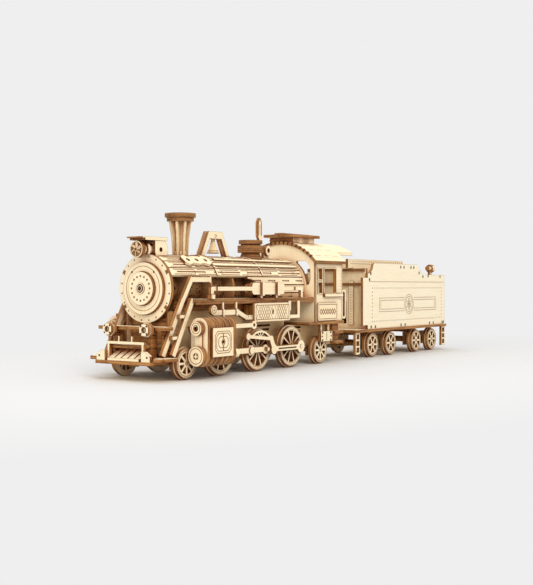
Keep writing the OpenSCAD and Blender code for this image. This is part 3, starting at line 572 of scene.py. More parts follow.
def corners_mm(node: str) -> tuple[Vector, Vector]:
    """Returns the lowest and highest corner of a node, in mm."""
    low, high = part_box(node)
    return Vector(low) / MM, Vector(high) / MM


def spoke(degrees: float) -> Vector:
    """Returns the unit vector at an angle from +Y towards +Z."""
    angle = math.radians(degrees)
    return Vector((0, math.cos(angle), math.sin(angle)))


def tipped(degrees: float) -> Vector:
    """Returns the unit vector at an angle from straight up towards -Y."""
    angle = math.radians(degrees)
    return Vector((0, -math.sin(angle), math.cos(angle)))


def ring_points(centre: Point, radius: float, count: int, turn: float = 0.0) -> list[Vector]:
    """Returns points round a circle that faces along X, in mm, from an angle in degrees."""
    return [Vector(centre) + spoke(turn + 360 * step / count) * radius for step in range(count)]


def on_side(what: str, side: int) -> str:
    """Returns a piece's name with its side, as the driver sees it."""
    return f"{what}_{'right' if side < 0 else 'left'}"


def scorched(name: str, body: str = "locomotive") -> Piece:
    """Starts a piece of brown marks that the laser left."""
    return Piece(name, body, Wood.DARK, "laser_mark")


def notched(name: str, body: str = "locomotive") -> Piece:
    """Starts a piece of notches and tab ends, nearly black: burnt tab ends, and painted shade in notches and
    holes.
    """
    return Piece(name, body, Wood.DARK, "notch_burn_and_shade")


def pale(name: str, body: str = "locomotive", finish: str = "ply_facing_y") -> Piece:
    """Starts a piece of sanded ply."""
    return Piece(name, body, Wood.FACE, finish)


def browned(name: str, body: str = "locomotive") -> Piece:
    """Starts a piece of deep brown cut edge."""
    return Piece(name, body, Wood.EDGE, "ply_brown_discs")


# ---------------------------------------------------------------- the model's sheets
class Sheets:
    """Dresses the cut sheets, each with the finish for the way that it faces; the frames, bogies and the
    boiler's inner pieces get darker tones that are painted shade.
    """

    groups: ClassVar[dict[str, tuple[str, ...]]] = {
        "ply_facing_x": (
            "front_handrail", "marker_lamps", "smokebox_ring", "smokebox_door", "cylinder_blocks",
            "cylinder_covers", "cab_front_wall", "tender_ends", "headlight_lens",
        ),
        "ply_facing_z": (
            "pilot_deck", "footplate_wings", "running_boards", "buffer_beams", "cab_floor",
            "roof_hatch", "tender_floor", "frame_spacers", "drawbar",
        ),
        "ply_along_x": (
            "boiler_planks", "boiler_trim", "cab_roof", "piston_rod_left", "piston_rod_right",
        ),
        "ply_upright": ("chimney_column", "bell"),
        "ply_slats": ("cowcatcher",),
        "ply_tender_sides": ("tender_sides",),
        "ply_brown_discs": ("chimney_cap", "steam_dome"),
        # Painted shade: the boiler's formers and core are given dark tones for the shade inside the boiler.
        "ply_inner_x_painted_shade": ("boiler_formers",),
        "ply_inner_round_painted_shade": ("boiler_core",),
        # Painted shade: the frames and bogies are given darker tones for the shade between the wheels.
        "ply_frame_painted_shade": ("frame_sides", "bogie_front", "bogie_rear"),
    }

    def dress(self, palette: Palette) -> None:
        """Gives every node its finish; sheets that run along the track are the rest."""
        finish_of = {node: finish for finish, nodes in self.groups.items() for node in nodes}
        for name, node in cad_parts.items():
            node.data.materials.clear()
            node.data.materials.append(palette[finish_of.get(name, "ply_facing_y")])
        LOG.info("sheets: %d nodes dressed", len(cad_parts))


@dataclass
class Smokebox:
    """Rings, bolts and pierced dots of the smokebox front, and its lamps.

    Attributes:
        bolts: How many bolts the outer ring has.
        dots: How many pierced dots ring the door's centre.
        joints: Where the outer ring is jointed, in degrees from +Y.
        ear_deg: How far the door's ears stand from the top.
        blades: How many folded blades the headlight has.
        line_mm: The width of an engraved line.
        proud_mm: How far a mark stands out of its sheet.
    """

    bolts: int = 20
    dots: int = 16
    joints: tuple[float, ...] = (30, 150, 214, 326)
    ear_deg: float = 42
    blades: int = 6
    line_mm: float = 0.32
    proud_mm: float = 0.12

    def build(self) -> None:
        """Builds the marks, the hub, the lamp's blades and the notches of the small lamps."""
        self._marks()
        self._hub()
        self._lamp()
        self._small_lamps()

    def _marks(self) -> None:
        """Lays the engraved rings and the dots between them."""
        low, high = corners_mm("smokebox_ring")
        door, door_high = corners_mm("smokebox_door")
        rim, door_r = (high.z - low.z) / 2, (door_high.z - door.z) / 2
        centre = Vector((low.x, 0, (low.z + high.z) / 2))
        plate = centre - Vector((SHEET_MM, 0, 0))
        inner = centre - Vector((2 * SHEET_MM, 0, 0))
        marks = scorched("smokebox_marks")
        marks.hoop(centre, FRONT, door_r + 0.35, self.line_mm, self.proud_mm)
        marks.hoop(plate, FRONT, door_r * 0.86, 0.24, self.proud_mm)
        marks.hoop(plate, FRONT, rim * 0.5, self.line_mm, self.proud_mm)
        marks.hoop(inner, FRONT, 2.3, 0.3, self.proud_mm)
        for point in ring_points(centre, rim - 1.5, self.bolts, 9):
            marks.stud(point, FRONT, 0.95, 0.16)
        for point in ring_points(inner, rim * 0.355, self.dots):
            marks.stud(point, FRONT, 0.8, 0.14)
        for turn in self.joints:
            out = spoke(turn)
            start = centre + out * (rim - 1.9)
            marks.strip(start, start + out * 1.9, FRONT, 2.2, 0.14)
        for side in SIDES:
            for step in (self.ear_deg, -self.ear_deg):
                ear = ring_points(plate, door_r * 0.84, 1, 90 - side * step)[0]
                marks.stud(ear, FRONT, 1.3, 0.14)
        marks.done()

    def _hub(self) -> None:
        """Sets the turned centre of the door."""
        low, high = corners_mm("smokebox_door")
        axis = (low.z + high.z) / 2
        hub = pale("smokebox_hub", finish="ply_facing_x")
        hub.hoop((low.x + 0.5, 0, axis), FRONT, 3.2, 0.7, 0.5, sides=40)
        hub.hoop((low.x + 0.02, 0, axis), FRONT, 1.85, 0.5, 0.3, sides=32)
        hub.done()
        # Painted shade: a nearly black dot for the hole at the door's centre.
        eye = notched("smokebox_eye")
        eye.stud((low.x, 0, axis), FRONT, 2.5, 0.14)
        eye.done()

    def _lamp(self) -> None:
        """Sets the folded blades behind the headlight's rim."""
        low, high = corners_mm("headlight_lens")
        centre = Vector((low.x, 0, (low.z + high.z) / 2))
        radius = (high.z - low.z) / 2
        blades = pale("headlight_blades", finish="ply_facing_x")
        marks = scorched("headlight_marks")
        for step in range(self.blades):
            out = spoke(360 / self.blades * step + 20)
            side = Vector((0, -out.z, out.y))
            start, end = centre + out * 0.3, centre + out * (radius - 0.9)
            blades.strip(start + side * 0.5, end + side * 0.9, Vector(FRONT) + side * 0.7, 1.6, 0.5)
            marks.strip(start - side * 0.4, end - side * 0.75, Vector(FRONT) - side * 0.6, 1.3, 0.18)
        blades.hoop(centre, FRONT, radius, 0.8, 0.3, sides=48)
        blades.done()
        marks.hoop((low.x - 0.3, 0, centre.z), FRONT, radius - 0.62, 0.2, 0.08, sides=48)
        marks.done()

    def _small_lamps(self) -> None:
        """Sets the four notches and the dark bore in each small lamp's front plate, the bore's dark being
        painted shade.
        """
        low, high = corners_mm("marker_lamps")
        height = (low.z + high.z) / 2
        reach = (high.z - low.z) / 2
        notches = notched("marker_lamp_notches")
        for y in (low.y + reach, high.y - reach):
            for point in ring_points((low.x, y, height), 2.8, 4, 45):
                notches.stud(point, FRONT, 1.1, 0.12)
            notches.hoop((low.x, y, height), FRONT, 1.75, 0.4, 0.1, sides=24)
        notches.done()


@dataclass
class BoilerTop:
    """Marks on the planks, the chimney, the bell, the dome and the whistle.

    Attributes:
        plank_step: The angle from one plank to the next, in degrees.
        plank_reach: How many planks lie on each side of the top one.
        line_off_mm: How far a plank's burnt lines lie from its middle.
        line_length: The length of one burnt line.
        line_pitch: The distance from one burnt line to the next.
        plain_end: The length at a plank's rear that starts no burnt line.
        laces: How many lacing holes a plank has, and how far apart.
        raised: The raised strips, as the plank counted from the top, the front end and the length.
        flutes: How many slits the chimney has.
    """

    plank_step: float = 15.2
    plank_reach: int = 4
    line_off_mm: float = 1.55
    line_length: float = 19.0
    line_pitch: float = 21.6
    plain_end: float = 22.0
    laces: tuple[int, float] = (5, 26.0)
    raised: tuple[tuple[int, float, float], ...] = (
        (-3, -121.5, 91), (-2, -115.5, 85), (2, -115.5, 85), (3, -121.5, 91),
    )
    flutes: int = 8

    def build(self) -> None:
        """Builds the marks of the boiler and of what stands on it."""
        self._planks()
        self._chimney()
        self._bell()
        self._dome()
        self._whistle()

    def _planks(self) -> None:
        """Lays the burnt centre lines and the lacing holes of the planks."""
        low, high = corners_mm("boiler_planks")
        ring_low, ring_high = corners_mm("smokebox_ring")
        axis = (ring_low.z + ring_high.z) / 2
        radius = high.z - axis
        lines = scorched("plank_lines")
        count, pitch = self.laces
        for number in range(-self.plank_reach, self.plank_reach + 1):
            angle = number * self.plank_step
            out, side = tipped(angle), spoke(angle)
            foot = Vector((0, 0, axis)) + out * radius
            for shift in (-self.line_off_mm, self.line_off_mm):
                start = foot + side * shift + Vector((low.x + 3, 0, 0))
                while start.x < high.x - self.plain_end:
                    lines.strip(start, start + Vector((self.line_length, 0, 0)), out, 0.42, 0.09)
                    start = start + Vector((self.line_pitch, 0, 0))
            for step in range(count):
                spot = foot + Vector((low.x + 22 + pitch * step, 0, 0))
                lines.strip(spot - side * 0.9, spot + side * 0.9, out, 0.5, 0.1)
        lines.done()
        self._raised_strips(radius, axis)

    def _raised_strips(self, radius: float, axis: float) -> None:
        """Lays the burnt lines on both sides of the raised strips.

        Args:
            radius: The outer radius of the planks, in mm.
            axis: The height of the boiler's centre line, in mm.
        """
        edges = scorched("raised_strip_edges")
        for number, front, length in self.raised:
            angle = number * self.plank_step
            out, side = tipped(angle), spoke(angle)
            foot = Vector((front, 0, axis)) + out * (radius + 0.5)
            for way in SIDES:
                start = foot + side * way * 0.9
                edges.strip(start, start + Vector((length, 0, 0)), side * way, 0.7, 0.1)
        edges.done()

    def _chimney(self) -> None:
        """Lays the slits of the flared column and the ply lines of its cap."""
        low, high = corners_mm("chimney_column")
        cap_low, cap_high = corners_mm("chimney_cap")
        centre = (low + high) / 2
        slits = scorched("chimney_lines")
        for step in range(self.flutes):
            angle = math.radians(360 / self.flutes * step)
            out = Vector((math.cos(angle), math.sin(angle), 0))
            base = Vector((centre.x, centre.y, 0)) + out * 4.3
            slits.strip(base + Vector((0, 0, low.z + 3)), base + Vector((0, 0, high.z - 1)), out, 0.5, 0.1)
        top = (centre.x, centre.y, cap_high.z)
        for radius in ((cap_high.x - cap_low.x) / 2 - 0.7, 5.9):
            slits.hoop(top, UP, radius, 0.3, 0.1, sides=48)
        slits.done()

    def _bell(self) -> None:
        """Sets the bell's lip and shoulder rings, which swing with it."""
        low, high = corners_mm("bell")
        centre = (low + high) / 2
        rings = Piece("bell_rings", "bell", Wood.EDGE, "laser_mark")
        rings.hoop((centre.x, 0, low.z + 0.1), UP, 4.1, 0.6, 0.35, sides=40)
        rings.hoop((centre.x, 0, low.z + 1.5), UP, 3.55, 0.7, 0.25, sides=40)
        rings.done()

    def _dome(self) -> None:
        """Lays the ply lines round the dome's slabs."""
        low, high = corners_mm("steam_dome")
        middle = ((low + high) / 2).x
        lines = scorched("dome_lines")
        for drop, radius in ((2.45, 8.0), (1.3, 8.0), (5.4, 8.8), (6.9, 8.8)):
            lines.hoop((middle, 0, high.z - drop), UP, radius, 0.5, 0.22, sides=48)
        lines.hoop((middle, 0, high.z), UP, 6.9, 0.3, 0.1, sides=48)
        lines.stud((middle, 0, high.z), UP, 1.6, 0.2)
        lines.done()

    def _whistle(self) -> None:
        """Lays the burnt border and the middle line of the whistle's upright plate."""
        low, high = corners_mm("whistle")
        middle = low.x + 2.1
        foot, shoulder, tip = high.z - 12.2, high.z - 3.4, high.z - 0.5
        border = scorched("whistle_border")
        for side in SIDES:
            out = (0, side, 0)
            for way in SIDES:
                edge = middle + way * 1.7
                border.strip((edge, side, foot), (edge, side, shoulder), out, 0.7, 0.12)
                border.strip((edge, side, shoulder), (middle + way * 0.3, side, tip), out, 0.7, 0.12)
            border.strip((middle, side, foot + 0.6), (middle, side, shoulder - 1), out, 0.4, 0.1)
        border.done()


@dataclass
class SideGear:
    """Marks on the cylinders, boxes, pipes and running boards of both sides.

    Attributes:
        line_mm: The width of an engraved line.
        proud_mm: How far a mark stands out of its sheet.
        cover_y: How far out the middle of a cylinder's end cover is.
        lattice_pitch: The distance between two crossed lines of a side box.
        board_mm: The thickness of a running board with the rail under it.
        injector_y: How far out the face of the box under the cab is.
        injector_x: Where that box starts and where it ends.
        strap_x: Where the reservoir's two straps are.
        collar_x: Where the upper pipe's collars are.
        clip_x: Where the lower pipe's clips are.
        flange_x: Where the lower pipe's flange is.
        elbow_x: Where the two dots on the lower pipe's elbow are.
    """

    line_mm: float = 0.36
    proud_mm: float = 0.1
    cover_y: float = 32.8
    lattice_pitch: float = 2.5
    board_mm: float = 3.1
    injector_y: float = 28.9
    injector_x: tuple[float, float] = (-19.8, -6.8)
    strap_x: tuple[float, float] = (-90.0, -73.4)
    collar_x: tuple[float, float] = (-134.5, -52.0)
    clip_x: tuple[float, float] = (-128.8, -115.8)
    flange_x: float = -137.4
    elbow_x: tuple[float, float] = (-103.4, -100.6)

    def build(self) -> None:
        """Builds the marks of both sides."""
        for side in SIDES:
            self._cylinder(side)
            self._lattice(side)
            self._pipes(side)
            self._board_edge(side)
            self._injector(side)

    def _cylinder(self, side: int) -> None:
        """Lays the eight-sided frames and the pierced diamond of a cylinder panel."""
        low, high = corners_mm("cylinder_panels")
        y = side * high.y
        cx, cz = (low.x + high.x) / 2, (low.z + high.z) / 2
        half_x, half_z = (high.x - low.x) / 2, (high.z - low.z) / 2
        out = (0, side, 0)
        marks = scorched(on_side("cylinder_marks", side))
        for inset, snip in ((2.1, 2.2), (3.3, 1.9), (5.2, 1.4)):
            w, h = half_x - inset, half_z - inset
            corners = [
                (cx - w + snip, y, cz - h), (cx + w - snip, y, cz - h), (cx + w, y, cz - h + snip),
                (cx + w, y, cz + h - snip), (cx + w - snip, y, cz + h), (cx - w + snip, y, cz + h),
                (cx - w, y, cz + h - snip), (cx - w, y, cz - h + snip),
            ]
            marks.outline(corners, out, self.line_mm, self.proud_mm)
        tall = 2.4
        diamond = [(cx, y, cz + tall), (cx + 1.7, y, cz), (cx, y, cz - tall), (cx - 1.7, y, cz)]
        marks.outline(diamond, out, 0.5, self.proud_mm)
        for way in (1, -1):
            tip, far = cz + way * tall, cz + way * (half_z - 3.4)
            marks.strip((cx, y, tip), (cx, y, far), out, 0.7, self.proud_mm)
        cover_x = corners_mm("cylinder_covers")[0].x
        for level, radius in ((cz - 7.6, 4.6), (cz + 8.2, 3.2)):
            spot = (cover_x, side * self.cover_y, level)
            marks.hoop(spot, FRONT, radius, self.line_mm, self.proud_mm, sides=40)
            marks.hoop(spot, FRONT, 1.9, self.line_mm, self.proud_mm, sides=32)
        marks.done()

    def _lattice(self, side: int) -> None:
        """Lays the crossed lines, frame and drop-shaped hole of a side box."""
        low, high = corners_mm("lattice_boxes")
        y = side * high.y
        out = (0, side, 0)
        x0, x1, z0, z1 = low.x + 1.5, high.x - 1.5, low.z + 1.4, high.z - 2.4
        marks = scorched(on_side("lattice_marks", side))
        marks.outline([(x0, y, z0), (x1, y, z0), (x1, y, z1), (x0, y, z1)], out, self.line_mm, self.proud_mm)
        lean = (z1 - z0) * 0.62
        count = int((x1 - x0 - lean) / self.lattice_pitch)
        middle = (x0 + x1) / 2
        for step in range(count + 1):
            x = x0 + step * self.lattice_pitch
            if abs(x + lean / 2 - middle) < 2.4:
                continue
            marks.strip((x, y, z0), (x + lean, y, z1), out, 0.2, self.proud_mm)
            marks.strip((x + lean, y, z0), (x, y, z1), out, 0.2, self.proud_mm)
        cz = (z0 + z1) / 2
        marks.stud((middle, y, cz - 0.5), out, 2.0, 0.14)
        marks.strip((middle, y, cz), (middle, y, cz + 2.2), out, 0.8, 0.12)
        for x in (x0 + 1.2, x1 - 1.2):
            for z in (z0 - 0.7, z1 + 0.7):
                marks.stud((x, y, z), out, 0.7, self.proud_mm)
        marks.done()

    def _board_edge(self, side: int) -> None:
        """Sets the deep brown edge of a running board."""
        low, high = corners_mm("running_boards")
        y, level = side * high.y, high.z - 1.6
        edge = browned(on_side("board_edge", side))
        edge.strip((low.x, y, level), (high.x - 0.2, y, level), (0, side, 0), self.board_mm, 0.35)
        edge.done()

    def _injector(self, side: int) -> None:
        """Sets the notches and the seam of the box that hangs under the cab."""
        foot = corners_mm("cab_fittings")[0].z
        y, top = side * self.injector_y, foot + 7
        front, back = self.injector_x
        middle = (front + back) / 2
        out = (0, side, 0)
        notches = notched(on_side("injector_notches", side))
        for x in (front + 1.2, back - 1.2):
            notches.strip((x, y, top - 1.7), (x, y, top - 0.3), out, 1.5, 0.1)
            notches.strip((x, y, foot + 0.3), (x, y, foot + 1.5), out, 1.5, 0.1)
        notches.strip((middle, y, foot + 0.6), (middle, y, top - 0.6), out, 0.4, 0.1)
        for start, end in ((front, front + 1.4), (back - 1.4, back)):
            notches.strip((start, y, foot + 3.5), (end, y, foot + 3.5), out, 0.9, 0.1)
        notches.done()

    def _pipes(self, side: int) -> None:
        """Lays the straps and flange rings of the pipes."""
        low, high = corners_mm("upper_pipes")
        y = side * (high.y + 0.02)
        out = (0, side, 0)
        axis = (low.z + high.z) / 2 + 0.9
        straps = pale(on_side("reservoir_straps", side))
        for x in self.strap_x:
            strap_y = y - side * 0.1
            straps.strip((x, strap_y, axis - 4.6), (x, strap_y, axis + 4.4), out, 2.4, 0.5)
        for x in self.collar_x:
            straps.strip((x, y - side, axis - 1.3), (x, y - side, axis + 1.3), out, 2.0, 0.6)
        low, high = corners_mm("lower_pipes")
        face, level = side * (high.y + 0.01), high.z - 4.6
        for x in self.clip_x:
            straps.strip((x, face, level - 3.9), (x, face, level + 0.5), out, 1.7, 0.5)
        straps.done()
        marks = scorched(on_side("pipe_marks", side))
        marks.hoop((self.flange_x, face, level), out, 2.0, 0.3, self.proud_mm, sides=32)
        marks.stud((self.flange_x, face, level), out, 1.2, 0.14)
        for x in self.elbow_x:
            marks.stud((x, face, low.z + 2.4), out, 0.8, self.proud_mm)
        marks.done()


@dataclass
class Wheels:
    """Turned hubs, rim lines and centre dots of every wheel.

    Attributes:
        line_mm: The width of an engraved line.
        driver_y: How far out the face of a driver is, without its crank.
        cranked: The wheelsets that carry a crank pin on each side.
        flange_mm: How far the flange stands over the tread.
    """

    line_mm: float = 0.3
    driver_y: float = 26.0
    cranked: tuple[str, ...] = ("driver_wheelset_2", "driver_wheelset_3")
    flange_mm: float = 1.0

    def build(self) -> None:
        """Builds the hub and the marks of each wheelset on its own body."""
        sets = [("pilot_wheelset", "pilot_wheels"), ("trailing_wheelset", "trailing_wheels")]
        sets += [(f"driver_wheelset_{n}", f"driver_{n}") for n in (1, 2, 3)]
        sets += [(f"tender_wheelset_{n}", f"tender_wheels_{n}") for n in (1, 2, 3, 4)]
        for node, body in sets:
            self._one(node, body)

    def _one(self, node: str, body: str) -> None:
        """Dresses both wheels of one set."""
        low, high = corners_mm(node)
        centre = (low + high) / 2
        tread_r = (high.z - low.z) / 2 - self.flange_mm
        face_y = self.driver_y if "driver" in node else high.y
        hubs = pale(f"{node}_hubs", body)
        marks = scorched(f"{node}_marks", body)
        for side in SIDES:
            out = (0, side, 0)
            spot = Vector((centre.x, side * face_y, centre.z))
            if node not in self.cranked:
                hubs.boss(spot, out, tread_r * 0.15, 0.25, 0.2, sides=28)
            hubs.hoop(spot, out, tread_r - 0.35, 0.55, 0.14, sides=64)
            marks.hoop(spot, out, tread_r * 0.86, self.line_mm, 0.08, sides=64)
            lift = 0.8 if node in self.cranked else 0.3
            marks.stud(spot + Vector((0, side * lift, 0)), out, 1.1, 0.25)
        hubs.done()
        marks.done()


@dataclass
class Cab:
    """Marks, beading, roof joints and window frames of the cab.

    Attributes:
        side_y: How far out the side sheets' faces are.
        side_rear: Where the side sheets' beading ends.
        diamonds: How many diamonds the lower panel has.
        joint_deg: The angle from one finger joint of the roof to the next.
        roof_rear: Where the roof's rivets end.
        side_to_eave: How far the eaves stand over the side sheets.
        sheet_length: The length of the bent roof sheet.
        hatch_y: How far out the hatch's sides are.
        hatch_x: Where the hatch's sides start and end.
        vent_x: Where the two vents on each side of the hatch are.
    """

    side_y: float = 28.0
    side_rear: float = 8.1
    diamonds: int = 7
    joint_deg: float = 5.2
    roof_rear: float = 9.5
    side_to_eave: float = 0.76
    sheet_length: float = 40.2
    hatch_y: float = 9.6
    hatch_x: tuple[float, float] = (-26.6, 0.2)
    vent_x: tuple[float, float] = (-23.0, -10.5)

    def build(self) -> None:
        """Builds the cab's detail."""
        self._sides()
        self._roof()
        self._eaves()
        self._hatch()

    def _sides(self) -> None:
        """Lays the beading of the side sheets and a row of diamonds on the lower panels."""
        low, high = corners_mm("cab_sides")
        for side in SIDES:
            out = (0, side, 0)
            y = side * self.side_y
            marks = scorched(on_side("cab_side_marks", side))
            x0, x1, z0, z1 = low.x + 0.9, self.side_rear, low.z + 0.8, high.z - 1.4
            for x in (x0, x1):
                marks.strip((x, y, z0), (x, y, z1), out, 0.25, 0.08)
            marks.strip((x0, y, z1), (x1, y, z1), out, 0.25, 0.08)
            marks.studs((x1 - 2, y, z0 + 12), (x1 - 2, y, z1 - 2), 12, out, 0.6, 0.1)
            self._diamonds(marks, side)
            marks.done()
            self._beads(side, high.z + self.side_to_eave - 5)

    def _diamonds(self, marks: Piece, side: int) -> None:
        """Lays the frame and the row of diamonds on one lower panel."""
        low, high = corners_mm("cab_panels")
        y = side * (high.y + 0.005)
        out = (0, side, 0)
        x0, x1, z0, z1 = low.x + 1.2, high.x - 1.2, low.z + 1.2, high.z - 1.2
        marks.outline([(x0, y, z0), (x1, y, z0), (x1, y, z1), (x0, y, z1)], out, 0.4, 0.08)
        middle = (z0 + z1) / 2
        for step in range(self.diamonds):
            x = x0 + 3 + step * (x1 - x0 - 6) / (self.diamonds - 1)
            diamond = [(x - 1.4, y, middle), (x, y, middle + 1.9), (x + 1.4, y, middle), (x, y, middle - 1.9)]
            marks.outline(diamond, out, 0.55, 0.1)

    def _beads(self, side: int, top: float) -> None:
        """Lays the frames round the three panes of one side, whose upper edge is at top."""
        y = side * self.side_y
        bead = pale(on_side("window_beads", side))
        sill = top - 17.6
        panes = ((-15.6, 0.0, sill, top), (-23.4, -18.4, top - 8.2, top), (-23.4, -18.4, sill, sill + 8))
        for x0, x1, z0, z1 in panes:
            x0, x1 = x0 - 0.45, x1 + 0.45
            bead.outline([(x0, y, z0), (x1, y, z0), (x1, y, z1), (x0, y, z1)], (0, side, 0), 0.8, 0.35)
        bead.done()

    def _roof(self) -> None:
        """Sets the finger joints round the roof's front arch and the lines on its skin."""
        low, high = corners_mm("cab_roof")
        half = (high.y - low.y) / 2
        rise = high.z - (low.z + 2)
        radius = (half * half + rise * rise) / (2 * rise)
        centre = Vector((low.x, 0, high.z - radius))
        reach = math.degrees(math.asin((half - 1) / radius))
        joints = notched("roof_joints")
        lines = scorched("roof_lines")
        steps = int(reach // self.joint_deg)
        for step in range(-steps, steps + 1):
            out = spoke(90 - step * self.joint_deg)
            rim = centre + out * radius
            joints.strip(rim + out * 0.02, rim - out * 1.9, FRONT, 1.1, 0.12)
            joints.strip(rim + Vector((0.1, 0, 0)), rim + Vector((1.5, 0, 0)), out, 1.1, 0.08)
            if abs(step) % 2 == 0 and abs(step) > 2:
                for part in range(3):
                    start = rim + Vector((5 + part * 11, 0, 0))
                    lines.strip(start, start + Vector((7.4, 0, 0)), out, 0.2, 0.06)
        for side in SIDES:
            out = spoke(90 - side * (reach - 2.4))
            edge = centre + out * radius
            rear = Vector((self.roof_rear, edge.y, edge.z))
            lines.studs(edge + Vector((2.5, 0, 0)), rear, 17, out, 0.55, 0.08)
        joints.done()
        lines.done()

    def _eaves(self) -> None:
        """Sets the brown cut edge of the bent roof sheet along both eaves."""
        low, high = corners_mm("cab_roof")
        eaves = browned("roof_eaves")
        level = low.z + 1
        for side in SIDES:
            y = side * high.y
            eaves.strip((low.x, y, level), (low.x + self.sheet_length, y, level), (0, side, 0), 1.9, 0.14)
        eaves.done()

    def _hatch(self) -> None:
        """Sets the pale sides of the hatch, their vents and the lines on its lid."""
        low, high = corners_mm("roof_hatch")
        level = high.z - 4.95
        boards = pale("hatch_sides")
        for side in SIDES:
            y = side * self.hatch_y
            boards.strip((self.hatch_x[0], y, level), (self.hatch_x[1], y, level), (0, side, 0), 3.7, 0.1)
        boards.done()
        vents = scorched("hatch_vents")
        for side in SIDES:
            out = (0, side, 0)
            y = side * (self.hatch_y + 0.1)
            for x in self.vent_x:
                corners = [
                    (x - 4.2, y, level), (x - 3.0, y, level + 1.3), (x + 3.0, y, level + 1.3),
                    (x + 4.2, y, level), (x + 3.0, y, level - 1.3), (x - 3.0, y, level - 1.3),
                ]
                vents.outline(corners, out, 0.4, 0.12)
                for slit in (level - 0.5, level + 0.5):
                    vents.strip((x - 2.4, y, slit), (x + 2.4, y, slit), out, 0.5, 0.1)
            front, back = (low.x + 1, side * 8, high.z - 1), (high.x - 1, side * 8, high.z - 1)
            vents.strip(front, back, UP, 0.3, 0.08)
        vents.done()


